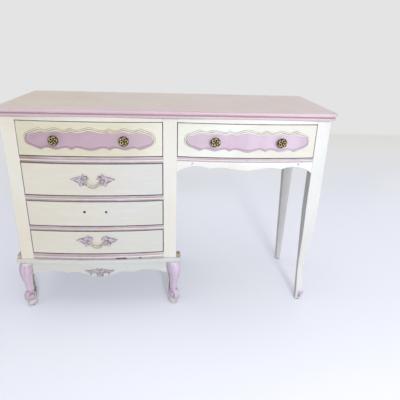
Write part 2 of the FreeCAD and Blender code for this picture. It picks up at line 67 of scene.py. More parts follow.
slot_of = {part["node"]: part["material_slot"] for part in frame["record"]["subparts"]}

# Key sizes, read from the solids, in metres.
post_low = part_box("front_left_post")[0]
centre_low, centre_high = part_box("front_centre_post")
leg_low, leg_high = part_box("front_right_leg")
rail_low, rail_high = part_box("pedestal_top_rail")
knee_low, knee_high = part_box("kneehole_top_rail")
post_face = centre_low.y
bow = post_face - rail_low.y
bank_half = (rail_high.x - rail_low.x) / 2
pedestal_x = (rail_low.x + rail_high.x) / 2
kneehole_x = (knee_low.x + knee_high.x) / 2
bow_radius = (bank_half**2 + bow**2) / (2 * bow)


def swelling(x, centre):
    """The Y of the bow front at this X."""
    return post_face + bow_radius - bow - math.sqrt(bow_radius**2 - (x - centre) ** 2)


# ---------------------------------------------------------------- finishes


def srgb(red, green, blue):
    """A mixed paint, given as it looks on a screen from 0 to 255."""
    linear = []
    for value in (red / 255, green / 255, blue / 255):
        linear.append(value / 12.92 if value <= 0.04045 else ((value + 0.055) / 1.055) ** 2.4)
    return (*linear, 1.0)


class Finish:
    """A procedural finish on object coordinates, built up in layers."""

    def __init__(self, name, roughness=0.4, metallic=0.0, specular=0.5):
        self.material = bpy.data.materials.new(name)
        self.material.use_nodes = True
        self.tree = self.material.node_tree
        self.shader = self.tree.nodes["Principled BSDF"]
        self.shader.inputs["Roughness"].default_value = roughness
        self.shader.inputs["Metallic"].default_value = metallic
        self.shader.inputs["Specular IOR Level"].default_value = specular
        self.place = self.node("ShaderNodeTexCoord").outputs["Object"]

    def node(self, kind, **settings):
        """A new node of the finish."""
        made = self.tree.nodes.new(kind)
        for key, value in settings.items():
            setattr(made, key, value)
        return made

    def feed(self, socket, value):
        """Sets a socket, or links it to another."""
        if isinstance(value, bpy.types.NodeSocket):
            self.tree.links.new(value, socket)
        else:
            socket.default_value = value

    def noise(self, scale, stretch=(1, 1, 1), detail=3.0, shift=0.0, warp=0.0):
        """Soft uneven patches, drawn out along an axis where its stretch is small."""
        mapping = self.node("ShaderNodeMapping")
        mapping.inputs["Location"].default_value = (shift, shift * 0.7, -shift)
        mapping.inputs["Scale"].default_value = stretch
        self.feed(mapping.inputs["Vector"], self.place)
        made = self.node("ShaderNodeTexNoise")
        made.inputs["Scale"].default_value = scale
        made.inputs["Detail"].default_value = detail
        made.inputs["Distortion"].default_value = warp
        self.feed(made.inputs["Vector"], mapping.outputs["Vector"])
        return made.outputs["Fac"]

    def axis(self, letter):
        """How far along X, Y or Z a point is."""
        split = self.node("ShaderNodeSeparateXYZ")
        self.feed(split.inputs["Vector"], self.place)
        return split.outputs[letter]

    def mark(self, name):
        """A value painted on the mesh, such as how near a point is to an arris."""
        return self.node("ShaderNodeAttribute", attribute_name=name).outputs["Fac"]

    def band(self, value, low, high, start=0.0, end=1.0):
        """Goes smoothly from start to end as the value goes from low to high."""
        made = self.node("ShaderNodeMapRange", interpolation_type="SMOOTHSTEP")
        for key, number in (("From Min", low), ("From Max", high), ("To Min", start), ("To Max", end)):
            made.inputs[key].default_value = number
        self.feed(made.inputs["Value"], value)
        return made.outputs["Result"]

    def sum(self, operation, first, second):
        """One sum on two values."""
        made = self.node("ShaderNodeMath", operation=operation, use_clamp=False)
        self.feed(made.inputs[0], first)
        self.feed(made.inputs[1], second)
        return made.outputs["Value"]

    def blend(self, amount, under, over, way="MIX"):
        """Lays one colour over another by an amount."""
        made = self.node("ShaderNodeMix", data_type="RGBA", blend_type=way)
        self.feed(made.inputs[0], amount)
        self.feed(made.inputs[6], under)
        self.feed(made.inputs[7], over)
        return made.outputs[2]

    def coat(self, under, over, value, low, high, most=1.0):
        """The same, from none where the value is low to most where it is high."""
        return self.blend(self.band(value, low, high, 0.0, most), under, over)

    def colour(self, value):
        """Sets the paint's colour."""
        self.feed(self.shader.inputs["Base Color"], value)

    def gloss(self, value):
        """Sets how dull the surface is."""
        self.feed(self.shader.inputs["Roughness"], value)

    def relief(self, height, depth):
        """Fine bumps from a value, this deep in metres."""
        made = self.node("ShaderNodeBump")
        made.inputs["Strength"].default_value = 1.0
        made.inputs["Distance"].default_value = depth
        self.feed(made.inputs["Height"], height)
        self.feed(self.shader.inputs["Normal"], made.outputs["Normal"])


# how a pattern is scaled: alike all ways, or drawn out along X or Z
EVEN = (1, 1, 1)
along_x = (0.08, 1.0, 1.0)
along_z = (1.0, 1.0, 0.08)
WOOD = srgb(122, 92, 70)
# The dark line colour at the arrises: grime, and painted shade of the gaps between parts.
GRIME_AND_SHADE = srgb(74, 58, 48)


def tinted(finish, left, right, cloud_colour, strokes, shift, clouds=0.4, streaks=0.14, span=(-0.58, 0.5)):
    """A hand-laid coat: one colour running into another from left to right, clouded and streaked. Where the
    left colour is the darker one, the drift is partly a real change of tone and partly painted shade of the
    light falling off to the left.
    """
    streak = finish.noise(130.0, strokes, 4.0, shift)
    broad = finish.noise(30.0, strokes, 3.0, shift + 3.0)
    cloud = finish.noise(4.5, EVEN, 2.0, shift + 7.0, 0.6)
    colour = finish.blend(finish.band(finish.axis("X"), *span), left, right)
    colour = finish.coat(colour, cloud_colour, cloud, 0.35, 0.7, clouds)
    colour = finish.coat(colour, cloud_colour, broad, 0.48, 0.74, clouds * 0.6)
    return finish.coat(colour, srgb(252, 250, 248), streak, 0.46, 0.7, streaks), streak


def worn(finish, colour, streak, wear, shift, lighter, line=GRIME_AND_SHADE, torn=0.0, wood=WOOD):
    """Dark glaze left in the hollows together with painted shade at the arrises and gaps, a painted
    highlight along the arrises where the paint is also worn thin, and chips down to the wood.
    """
    wear_and_highlight = finish.mark("wear_and_highlight")
    uneven = finish.noise(46.0, EVEN, 4.0, shift + 5.0)
    near = finish.sum("ADD", wear_and_highlight, finish.band(uneven, 0.3, 0.7, -0.4, 0.2))
    # Lighter along the arrises: a painted highlight, and paint worn thin.
    colour = finish.coat(colour, lighter, near, 0.5, 1.1, 0.5)
    # Darker where the dark mark is set: painted shade at the gaps and in the hollows, and glaze.
    shade_and_settled_dirt = finish.sum("ADD", finish.mark("dirt_and_shade"), finish.band(uneven, 0.3, 0.7, -0.12, 0.12))
    colour = finish.coat(colour, line, shade_and_settled_dirt, 0.12, 0.95, 0.92)
    flake = finish.noise(75.0, (0.4, 0.5, 1.0), 5.0, shift + 9.0, 0.4)
    patch = finish.noise(6.0, EVEN, 2.0, shift + 13.0)
    chip = finish.sum("ADD", finish.sum("MULTIPLY", wear_and_highlight, 0.42), flake)
    chip = finish.sum("ADD", chip, finish.band(patch, 0.4, 0.75, -0.16, 0.02 + 0.26 * wear))
    if torn:
        chip = finish.sum("ADD", chip, torn)
    bare = finish.band(chip, 1.12 - 0.1 * wear, 1.17 - 0.1 * wear)
    finish.colour(finish.blend(bare, colour, wood))
    finish.gloss(finish.band(finish.sum("ADD", uneven, bare), 0.3, 1.2, 0.42, 0.66))
    height = finish.sum("ADD", finish.sum("MULTIPLY", streak, 0.5), finish.sum("MULTIPLY", bare, -1.2))
    finish.relief(height, 0.0003)
    return finish


def shaded(colour, red, green, blue):
    """A paint with each of its parts made stronger or weaker."""
    return (colour[0] * red, colour[1] * green, colour[2] * blue, 1.0)


def cream(name, left, right, strokes=along_x, wear=0.2, shift=0.0, span=(-0.58, 0.5)):
    """Cream paint, warmer to the left and mostly darker there, partly as painted shade of the light falling
    off to the left.
    """
    finish = Finish(name, specular=0.35)
    clouded = shaded(left, 0.95, 0.91, 0.85)
    colour, streak = tinted(finish, left, right, clouded, strokes, shift, 0.28, 0.1, span)
    cool = finish.noise(3.2, EVEN, 2.0, shift + 21.0)
    colour = finish.coat(colour, shaded(right, 0.93, 0.97, 0.90), cool, 0.48, 0.7, 0.4)
    return worn(finish, colour, streak, wear, shift, shaded(right, 1.02, 1.02, 1.02))


def lavender(name, left, right, strokes=along_z, wear=0.15, shift=0.0):
    """Lavender paint with a paler wash where the field mark is set, and paler to the right partly as painted
    light.
    """
    finish = Finish(name, specular=0.4)
    colour, streak = tinted(finish, left, right, srgb(188, 168, 186), strokes, shift, 0.5)
    wash = finish.blend(finish.noise(30.0, EVEN, 3.0, shift + 2.0), srgb(226, 222, 214), srgb(196, 190, 196))
    colour = finish.coat(colour, wash, finish.mark("field"), 0.3, 0.7)
    return worn(finish, colour, streak, wear, shift, srgb(222, 208, 224), srgb(84, 70, 82))


def rail_paint():
    """Mauve rail, tan where the paint is thin, with its bead painted paler as a painted highlight."""
    finish = Finish("rail_paint", specular=0.35)
    # Darker and warmer at the left: partly painted shade of the light falling off to the left.
    warm_and_shaded, mauve, cloud = srgb(184, 168, 172), srgb(206, 194, 206), srgb(172, 154, 166)
    colour, streak = tinted(finish, warm_and_shaded, mauve, cloud, along_x, 3.0, 0.5, 0.2)
    thin = finish.noise(9.0, (0.5, 1, 1), 3.0, 31.0, 0.4)
    colour = finish.coat(colour, srgb(190, 177, 164), thin, 0.48, 0.66, 0.6)
    leftmost = finish.band(finish.axis("X"), -0.39, -0.48)
    left_end = finish.sum("MULTIPLY", leftmost, finish.band(finish.axis("Z"), 0.55, 0.6))
    colour = finish.blend(finish.sum("MULTIPLY", left_end, 0.8), colour, srgb(158, 130, 112))
    # The paler bead is a painted highlight, itself paler to the right.
    bead = finish.coat(srgb(212, 201, 202), srgb(236, 228, 236), finish.axis("X"), -0.5, 0.4)
    colour = finish.blend(finish.mark("field"), colour, bead)
    torn = 0.0
    for start, end in ((-0.218, -0.146), (-0.132, -0.094)):
        stretch = finish.sum(
            "MULTIPLY",
            finish.band(finish.axis("X"), start, start + 0.02),
            finish.band(finish.axis("X"), end, end - 0.02),
        )
        torn = finish.sum("ADD", torn, stretch)
    torn = finish.sum("MULTIPLY", torn, finish.band(finish.axis("Z"), 0.225, 0.219, 0.0, 0.72))
    lighter, line, wood = srgb(214, 204, 208), srgb(104, 84, 82), srgb(104, 84, 76)
    return worn(finish, colour, streak, 0.6, 3.0, lighter, line, torn, wood)


def panelled_paint():
    """Cream drawer front, with the flat of its raised panel painted lavender by hand."""
    # The left cream is darker and warmer, partly painted shade of the light falling off to the left.
    warm_and_shaded, cool = srgb(214, 209, 189), srgb(234, 236, 231)
    finish = cream("panelled_paint", warm_and_shaded, cool, wear=0.1, shift=2.0, span=(-0.2, 0.1))
    plain = finish.shader.inputs["Base Color"].links[0].from_socket
    # The lavender runs from a darker, duller mauve at the left to pale lilac at the right, partly painted
    # shade of the light falling off to the left.
    field = finish.coat(srgb(176, 152, 160), srgb(216, 198, 217), finish.axis("X"), -0.42, 0.4)
    brush = finish.noise(24.0, (1, 1, 0.15), 3.0, 4.0)
    field = finish.coat(field, srgb(186, 162, 184), brush, 0.42, 0.7, 0.25)
    blotch = finish.noise(7.0, EVEN, 2.0, 6.0, 0.5)
    field = finish.coat(field, srgb(200, 170, 190), blotch, 0.45, 0.68, 0.45)
    # Darker where the dark mark is set: painted shade in the quirks, and grime.
    field = finish.coat(field, srgb(122, 98, 116), finish.mark("dirt_and_shade"), 0.1, 1.0, 0.5)
    wander = finish.sum("ADD", finish.mark("field"), finish.band(finish.noise(60.0), 0.3, 0.7, -0.6, 0.6))
    finish.colour(finish.coat(plain, field, wander, 19.7, 20.3))
    return finish


def top_paint():
    """Thin beige and pink paint, wiped along the top, with a pinker moulded edge."""
    finish = Finish("top_paint", specular=0.5)
    beige, pink, cloud = srgb(212, 197, 180), srgb(217, 203, 199), srgb(204, 184, 174)
    colour, _ = tinted(finish, beige, pink, cloud, (0.5, 0.16, 1.0), 5.0, 0.35, 0.06)
    front = finish.band(finish.axis("Y"), -0.2, -0.1, 0.55, 0.0)
    colour = finish.blend(front, colour, srgb(216, 196, 202))
    edge = finish.coat(srgb(203, 180, 188), srgb(192, 164, 176), finish.noise(22.0, along_x), 0.35, 0.7)
    # The moulded edge is paler towards the right, partly painted light falling off to the left.
    edge = finish.coat(edge, srgb(219, 199, 208), finish.axis("X"), 0.0, 0.5, 0.9)
    colour = finish.coat(colour, edge, finish.mark("edge"), 0.2, 0.9)
    smooth = finish.noise(5.0, EVEN, 2.0, 9.0)
    worn(finish, colour, smooth, 0.1, 5.0, srgb(230, 218, 218), srgb(174, 144, 156))
    finish.gloss(finish.band(smooth, 0.3, 0.7, 0.32, 0.4))
    return finish


def bare_wood(name, light, dark, grain=(0.12, 1.0, 1.0), shift=0.0):
    """Unpainted wood with long grain."""
    finish = Finish(name, 0.6, specular=0.3)
    fibre = finish.noise(90.0, grain, 5.0, shift)
    figure = finish.noise(18.0, grain, 3.0, shift + 2.0, 1.2)
    stain = finish.noise(6.0, EVEN, 3.0, shift + 4.0)
    colour = finish.coat(light, dark, figure, 0.35, 0.65)
    colour = finish.coat(colour, dark, fibre, 0.45, 0.7, 0.5)
    colour = finish.coat(colour, srgb(96, 70, 50), stain, 0.5, 0.75, 0.35)
    finish.colour(colour)
    finish.gloss(finish.band(fibre, 0.3, 0.7, 0.5, 0.72))
    finish.relief(fibre, 0.0003)
    return finish


def aged_metal(name, hollow, bright, roughness=0.42, metallic=0.9, patchy=0.2):
    """Cast metal, dark in the hollows and bright where hands have polished it."""
    finish = Finish(name, roughness, metallic)
    tarnish = finish.noise(140.0, EVEN, 4.0, 1.0)
    polished = finish.sum("ADD", finish.mark("wear_and_highlight"), finish.band(tarnish, 0.3, 0.7, -patchy, patchy))
    colour = finish.coat(hollow, bright, polished, 0.25, 0.75)
    finish.colour(finish.coat(colour, hollow, finish.mark("dirt_and_shade"), 0.3, 1.0, 0.85))
    finish.gloss(finish.band(tarnish, 0.3, 0.7, roughness - 0.1, roughness + 0.15))
    finish.relief(tarnish, 0.0002)
    return finish


# The left colours given here are mostly darker than the right ones: partly a real change of tone, partly
# painted shade of the light falling off to the left.
finishes = {
    "case_paint": cream("case_paint", srgb(226, 219, 206), srgb(229, 230, 232), along_z, 0.1, 1.0),
    "board_paint": cream("board_paint", srgb(220, 216, 204), srgb(238, 239, 241), along_x, -0.5, 8.0),
    "front_paint": cream(
        "front_paint", srgb(219, 214, 202), srgb(211, 213, 212), along_x, 0.1, 2.0, (-0.5, -0.05)
    ),
    "panelled_paint": panelled_paint(),
    "rail_paint": rail_paint(),
    "trim_paint": lavender("trim_paint", srgb(212, 192, 210), srgb(224, 207, 236), along_z, 0.1, 4.0),
    "top_paint": top_paint(),
    "worn_wood": bare_wood("worn_wood", srgb(196, 184, 170), srgb(160, 144, 126), (1.0, 0.12, 1.0), 3.0),
    "bare_wood": bare_wood("bare_wood", srgb(206, 178, 138), srgb(176, 140, 100), (1.0, 0.12, 1.0), 5.0),
    "cross_wood": bare_wood("cross_wood", srgb(206, 178, 138), srgb(170, 136, 98), (0.12, 1.0, 1.0), 8.0),
    "base_paint": cream("base_paint", srgb(210, 210, 205), srgb(203, 211, 218), along_x, 0.2, 12.0),
    "carved_paint": aged_metal("carved_paint", srgb(128, 114, 126), srgb(178, 166, 178), 0.5, 0.0, 0.35),
    "plate_paint": aged_metal("plate_paint", srgb(112, 98, 104), srgb(194, 180, 196), 0.5, 0.0, 0.5),
    "antique_brass": aged_metal("antique_brass", srgb(45, 36, 26), srgb(216, 196, 140), 0.4, 0.5),
    "bail_metal": aged_metal("bail_metal", srgb(146, 136, 128), srgb(188, 179, 168), 0.42, 0.25),
    "steel": aged_metal("steel", srgb(120, 120, 122), srgb(176, 176, 176), 0.35, 0.9),
}


# ---------------------------------------------------------------- workshop


def body_of(node):
    """The moving body that a solid belongs to."""
    return nodes[node]["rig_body"]


def marked_mesh(*names):
    """An empty mesh, with a value to paint on its points for each name."""
    bm = bmesh.new()
    for name in names:
        bm.verts.layers.float.new(name)
    return (bm, *(bm.verts.layers.float[name] for name in names))


def set_out(name, data):
    """Puts a new object into the scene."""
    made = bpy.data.objects.new(name, data)
    bpy.context.scene.collection.objects.link(made)
    return made


def finish_piece(name, bm, body, slot, stands_for=(), finish=None, sharp=25.0):
    """Turns the bmesh into an object that rides on a body in place of the plain solids."""
    for face in bm.faces:
        face.smooth = True
    for edge in bm.edges:
        edge.smooth = len(edge.link_faces) == 2 and edge.calc_face_angle(0.0) < math.radians(sharp)
    mesh = bpy.data.meshes.new(name)
    bm.to_mesh(mesh)
    bm.free()
    mesh.materials.append(finishes[finish or slot].material)
    made = set_out(name, mesh)
    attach(made, body)
    if stands_for:
        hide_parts(*stands_for)


def finish_node(node, bm, slot=None, finish=None, sharp=25.0):
    """Finishes a piece that stands for one solid."""
    finish_piece(node + "_finished", bm, body_of(node), slot or slot_of[node], [node], finish, sharp)


def joined_faces(bm, limit=360.0):
    """Groups of faces that run into each other across edges bent by less than the limit in degrees."""
    seen = set()
    groups = []
    for start in bm.faces:
        if start in seen:
            continue
        seen.add(start)
        group = [start]
        for face in group:
            for edge in face.edges:
                if len(edge.link_faces) == 2 and edge.calc_face_angle(0.0) < math.radians(limit):
                    fresh = [other for other in edge.link_faces if other not in seen]
                    seen.update(fresh)
                    group += fresh
        groups.append(group)
    return groups


def close_up(bm):
    """Joins doubled points and turns every face outwards."""
    bmesh.ops.remove_doubles(bm, verts=bm.verts, dist=1e-6)
    bmesh.ops.recalc_face_normals(bm, faces=bm.faces)
    for shell in joined_faces(bm):
        bulk = 0.0
        origin = shell[0].verts[0].co.copy()
        for face in shell:
            bulk += face.calc_area() * face.normal.dot(face.calc_center_median() - origin)
        if bulk < 0:
            bmesh.ops.reverse_faces(bm, faces=shell)


def copy_of(node):
    """A copy of a solid, with its loose triangles joined and its flat faces made whole."""
    bm = bmesh.new()
    bm.from_mesh(nodes[node].data)
    for layer in list(bm.loops.layers.uv):
        bm.loops.layers.uv.remove(layer)
    bmesh.ops.remove_doubles(bm, verts=bm.verts, dist=1e-5)
    bmesh.ops.dissolve_limit(
        bm, angle_limit=math.radians(0.15), use_dissolve_boundaries=False, verts=bm.verts, edges=bm.edges
    )
    return bm


def round_off(bm, geom, width, segments=2, affect="EDGES", clamp=False):
    """Rounds edges or corners to a quarter round."""
    bmesh.ops.bevel(
        bm,
        geom=geom,
        offset=width,
        offset_type="OFFSET",
        segments=segments,
        profile=0.5,
        affect=affect,
        material=-1,
        clamp_overlap=clamp,
    )


def ease(bm, width, segments=2, corner=35.0):
    """Takes the sharpness off the arrises."""
    arrises = []
    for edge in bm.edges:
        if len(edge.link_faces) == 2 and edge.calc_face_angle(0.0) > math.radians(corner):
            if edge.calc_length() > 2.5 * width:
                arrises.append(edge)
    round_off(bm, arrises, width, segments, clamp=True)


def strip_inside(bm, group, width):
    """Sets a strip inside the border of a group of faces, and gives the points within it.

    The strip dies out where it would fold over.
    """
    facing = {face: face.normal.copy() for face in group}
    ring = bmesh.ops.inset_region(
        bm, faces=group, use_boundary=True, use_even_offset=False, thickness=width, depth=0.0
    )["faces"]
    inside = {vert for face in group for vert in face.verts}
    border = {}
    for face in ring:
        inner = [other for edge in face.edges for other in edge.link_faces if other in facing]
        if inner:
            border[face] = facing[inner[0]]
    for _ in range(12):
        folded = []
        for faces in (facing, border):
            for face, way in faces.items():
                face.normal_update()
                if face.calc_area() > 1e-11 and face.normal.dot(way) < 0.5:
                    folded.append(face)
        if not folded:
            break
        for vert in {vert for face in folded for vert in face.verts} & inside:
            for edge in vert.link_edges:
                if edge.other_vert(vert) not in inside:
                    vert.co = edge.other_vert(vert).co
    return inside


def map_wear(bm, shade_and_grime, width=0.005):
    """Marks the arrises and a strip beside each, where grime gathers and paint rubs off first; the dark mark
    on the arris is also painted shade of the gaps between parts, and the light one also a painted highlight.
    """
    wear_and_highlight = bm.verts.layers.float.new("wear_and_highlight")
    dirt_and_shade = bm.verts.layers.float.new("dirt_and_shade")
    too_narrow = 0.006
    for vert in bm.verts:
        vert[wear_and_highlight], vert[dirt_and_shade] = 1.0, shade_and_grime
    for group in joined_faces(bm, 12.0):
        points = [vert.co for face in group for vert in face.verts]
        longest = max(max(p[i] for p in points) - min(p[i] for p in points) for i in range(3))
        breadth = sum(face.calc_area() for face in group) / longest
        if breadth < too_narrow:
            continue
        for step, highlight_and_wear in ((0.0007, 1.0), (min(width, 0.25 * breadth), 0.0)):
            for vert in strip_inside(bm, group, step):
                vert[wear_and_highlight], vert[dirt_and_shade] = highlight_and_wear, 0.0
    bmesh.ops.dissolve_degenerate(bm, dist=1e-6, edges=bm.edges)
    return dirt_and_shade


def cut_through(bm, place, way):
    """Cuts every face that a plane crosses."""
    whole = bm.verts[:] + bm.edges[:] + bm.faces[:]
    bmesh.ops.bisect_plane(bm, geom=whole, dist=1e-6, plane_co=place, plane_no=way)


def slice_up(bm, count):
    """Cuts a long piece across, so that its shaped faces come in short lengths."""
    low = min(vert.co.x for vert in bm.verts)
    high = max(vert.co.x for vert in bm.verts)
    for i in range(1, count):
        cut_through(bm, (low + (high - low) * i / count, 0, 0), (1, 0, 0))


def dress(node, edge=0.0012, finish=None, segments=2, shade_and_grime=0.3, slices=1):
    """The solid itself, with eased arrises, worn paint, and a dark line along its arrises that is painted
    shade of the gaps and grime.
    """
    bm = copy_of(node)
    ease(bm, edge, segments)
    slice_up(bm, slices)
    map_wear(bm, shade_and_grime)
    finish_node(node, bm, finish=finish)


def plain_front(node):
    """A bow drawer front, dark all round its edge and round its screw holes: painted shade of the gap round
    the front and inside the holes.
    """
    low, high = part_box(node)
    bm = copy_of(node)
    bore_radius = 0.0025
    bores = []
    for face in bm.faces:
        spot = face.calc_center_median()
        margin = min(spot.x - low.x, high.x - spot.x, spot.z - low.z, high.z - spot.z)
        if margin > 0.03 and abs(face.normal.y) < 0.3:
            bores.append(spot)
    ease(bm, 0.0014)
    # A full dark mark on the arris: painted shade of the gap round the front.
    dirt_and_shade = map_wear(bm, 1.0, 0.0032)
    # Painted shade inside and round the screw holes.
    for vert in bm.verts:
        if any(math.hypot(vert.co.x - bore.x, vert.co.z - bore.z) < bore_radius for bore in bores):
            vert[dirt_and_shade] = 1.0
    finish_node(node, bm)


def smooth_line(points, steps):
    """Points on a smooth line through the given ones."""
    spots = [Vector(p) for p in points]
    line = []
    for i in range(len(spots) - 1):
        before = spots[max(i - 1, 0)]
        a, b = spots[i], spots[i + 1]
        after = spots[min(i + 2, len(spots) - 1)]
        reach = (b - a).length
        lead = (b - before).normalized() * reach / 3
        trail = (after - a).normalized() * reach / 3
        run = interpolate_bezier(a, a + lead, b - trail, b, steps + 1)
        line += run[:-1]
    return line + [spots[-1]]


def pushed_out(bm, face):
    """Extrudes a face and gives the new one at its end."""
    grown = bmesh.ops.extrude_face_region(bm, geom=[face, *face.edges])["geom"]
    return next(part for part in grown if isinstance(part, bmesh.types.BMFace))


def drawn_out(bm, edges):
    """Extrudes a loop of edges and gives the new points and the new loop."""
    grown = bmesh.ops.extrude_edge_only(bm, edges=edges)["geom"]
    fresh = [part for part in grown if isinstance(part, bmesh.types.BMVert)]
    loop = [part for part in grown if isinstance(part, bmesh.types.BMEdge) and set(part.verts) <= set(fresh)]
    return fresh, loop


def placed(first, second, third, place):
    """A matrix from three directions, with their lengths, and a place."""
    made = Matrix((first, second, third)).transposed().to_4x4()
    made.translation = place
    return made


def sweep(bm, stations, sides=10, square=1.0, value=None, layer=None):
    """A closed bar through the stations, each a matrix that places and sizes a unit circle."""
    ring = bmesh.ops.create_circle(bm, cap_ends=True, segments=sides, radius=1.0)["verts"]
    for vert in ring:
        for i in (0, 1):
            vert.co[i] = math.copysign(abs(vert.co[i]) ** square, vert.co[i])
    bmesh.ops.transform(bm, matrix=stations[0], verts=ring)
    end = ring[0].link_faces[0]
    made = set(ring)
    for last, station in zip(stations, stations[1:]):
        end = pushed_out(bm, end)
        bmesh.ops.transform(bm, matrix=station @ last.inverted(), verts=end.verts[:])
        made.update(end.verts)
    if layer is not None:
        for vert in made:
            vert[layer] = value
    return list(made)


def heading_at(line, i):
    """The way a line runs at one of its points."""
    return line[min(i + 1, len(line) - 1)] - line[max(i - 1, 0)]


def station(place, heading, side, width, height):
    """A place along a bar: heading is the way it runs, side is across, and the third way follows."""
    forward = heading.normalized()
    across = (side - forward * side.dot(forward)).normalized()
    return placed(across * width, forward.cross(across) * height, forward * MM, place)


def bar(bm, line, side, sizes, sides=10, square=1.0, value=None, layer=None):
    """A bar along a line, with (width, height) at each point."""
    stations = [station(place, heading_at(line, i), side, *sizes[i]) for i, place in enumerate(line)]
    return sweep(bm, stations, sides, square, value, layer)


def turned(bm, profile, place, steps=24):
    """A turned piece: (radius, height) pairs spun round the matrix's Z axis."""
    points = [bm.verts.new(place @ Vector((r, 0.0, h))) for r, h in profile]
    chain = [bm.edges.new(pair) for pair in zip(points, points[1:])]
    axis = (place.to_3x3() @ UP).normalized()
    bmesh.ops.spin(
        bm,
        geom=points + chain,
        cent=place.translation,
        axis=axis,
        dvec=(0, 0, 0),
        angle=math.tau,
        steps=steps,
        use_merge=True,
        use_duplicate=False,
    )


def leaf(
    bm, spine, side, half_width, dome, thick, vein, lobes, vein_darkening=0.55, rim_darkening=3.2, pointed=False
):
    """A carved leaf along a spine of points, domed across, with a vein down its middle."""
    wear_and_highlight, dirt_and_shade = (bm.verts.layers.float[name] for name in ("wear_and_highlight", "dirt_and_shade"))
    lean, fullness = (0.55, 1.15) if pointed else (0.75, 0.7)
    line = smooth_line(spine, 3)
    steps = len(line) - 1
    grid = bmesh.ops.create_grid(bm, x_segments=8, y_segments=steps, size=1.0)["verts"]
    side = side.normalized()
    for vert in grid:
        s = vert.co.x
        t = (vert.co.y + 1) / 2
        i = min(int(t * steps + 0.5), steps)
        heading = heading_at(line, i).normalized()
        across_way = (side - heading * side.dot(heading)).normalized()
        out = heading.cross(across_way).normalized()
        full = math.sin(math.pi * t**lean) ** fullness if 0 < t < 1 else 0.0
        full = max(full, 0.06)
        if lobes:
            full *= 1.0 - 0.16 * abs(math.sin(math.pi * lobes * t))
        lift = dome * (1 - s * s) - dome * vein * math.exp(-((s / 0.22) ** 2))
        vert.co = line[i] + across_way * (s * half_width * full) + out * (lift * (0.4 + 0.6 * full))
        # Lighter on the crown, darker along the vein and round the rim.
        vert[wear_and_highlight] = max(0.0, 1 - s * s) * 0.9
        vert[dirt_and_shade] = vein_darkening * math.exp(-((s / 0.16) ** 2)) + max(0.0, abs(s) - 0.75) * rim_darkening
    faces = list({face for vert in grid for face in vert.link_faces})
    bmesh.ops.solidify(bm, geom=faces, thickness=thick)


# ---------------------------------------------------------------- top board


# (inset, height, wear and painted highlight, grime and painted shade, edge), in millimetres up from the
# underside: the crowns of the bead and lip are marked lighter as painted highlight and wear, and the cove
# darker as painted shade.
TOP_PROFILE = [
    (6.5, 0.0, 0.0, 0.3, 1.0),
    (4.8, 1.2, 0.2, 0.0, 1.0),
    (4.0, 4.3, 0.7, 0.0, 1.0),
    (4.8, 7.4, 0.4, 0.0, 1.0),
    (6.6, 8.8, 0.0, 0.7, 1.0),
    (8.2, 9.2, 0.0, 1.0, 1.0),
    (8.4, 10.6, 0.0, 1.0, 1.0),
    (7.2, 12.0, 0.0, 0.7, 1.0),
    (3.0, 12.9, 0.5, 0.2, 1.0),
    (1.2, 13.6, 0.9, 0.0, 1.0),
    (0.0, 16.6, 0.4, 0.0, 1.0),
    (0.3, 19.6, 0.3, 0.0, 1.0),
    (1.8, 22.2, 0.5, 0.0, 1.0),
    (4.2, 23.6, 0.9, 0.0, 1.0),
    (6.6, 24.0, 0.3, 0.5, 0.9),
    (7.4, 24.2, 0.0, 0.9, 0.7),
    (8.2, 25.0, 0.9, 0.1, 0.3),
    (9.6, 25.0, 0.3, 0.0, 0.1),
    (17.0, 25.0, 0.0, 0.0, 0.0),
]


def top_board():
    """One board with a moulded edge on its front and ends: bead, cove, and a rounded lip with a quirk."""
    low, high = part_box("top_board")
    corner = 0.035
    bm, wear_and_highlight, dirt_and_shade, edge = marked_mesh("wear_and_highlight", "dirt_and_shade", "edge")
    spots = ((low.x, low.y), (high.x, low.y), (high.x, high.y), (low.x, high.y))
    plan = bm.faces.new([bm.verts.new((x, y, low.z)) for x, y in spots])
    front = [vert for vert in plan.verts if vert.co.y < 0]
    round_off(bm, front, corner, 10, "VERTICES")
    bm.faces.ensure_lookup_table()
    face = bm.faces[0]

    def inwards(co):
        """The way in from the edge, which turns with the rounded corners and is nothing at the back."""
        across = abs(co.x) - (high.x - corner)
        ahead = (low.y + corner) - co.y
        way = Vector((math.copysign(max(across, 0.0), -co.x), max(ahead, 0.0), 0.0))
        return way.normalized() if way.length > 1e-7 else Vector((0, 0, 0))

    inset, height = 0.0, 0.0
    for i, (next_inset, next_height, highlight_and_wear, darkening, edged) in enumerate(TOP_PROFILE):
        if i:
            face = pushed_out(bm, face)
        for vert in face.verts:
            vert.co += inwards(vert.co) * (next_inset - inset) * MM
            vert.co.z += (next_height - height) * MM
            vert[wear_and_highlight], vert[dirt_and_shade], vert[edge] = highlight_and_wear, darkening, edged
        inset, height = next_inset, next_height
    close_up(bm)
    finish_node("top_board", bm, "top_paint", sharp=35.0)


# ---------------------------------------------------------------- rails between the drawers

# (share of the height, set back in millimetres, wear and painted highlight, grime and painted shade, bead),
# from the top down: the dark marks at the top and bottom are painted shade of the gaps, and the bead mark
# paints the bead paler as a painted highlight.
RAIL_PROFILE = [
    (0.00, 2.4, 0.0, 1.0, 0.0),
    (0.04, 1.0, 0.2, 0.7, 0.0),
    (0.10, 0.4, 0.4, 0.1, 0.0),
    (0.22, 0.2, 0.0, 0.0, 0.0),
    (0.40, 0.5, 0.0, 0.1, 0.0),
    (0.45, 1.8, 0.0, 0.7, 0.2),
    (0.50, 0.9, 0.3, 0.1, 0.9),
    (0.58, 0.2, 0.5, 0.0, 1.0),
    (0.68, 0.2, 0.5, 0.0, 1.0),
    (0.76, 0.8, 0.2, 0.1, 0.8),
    (0.80, 2.2, 0.0, 0.8, 0.2),
    (0.86, 1.6, 0.1, 0.25, 0.0),
    (0.95, 1.6, 0.4, 0.2, 0.0),
    (1.00, 3.0, 0.0, 1.0, 0.0),
]


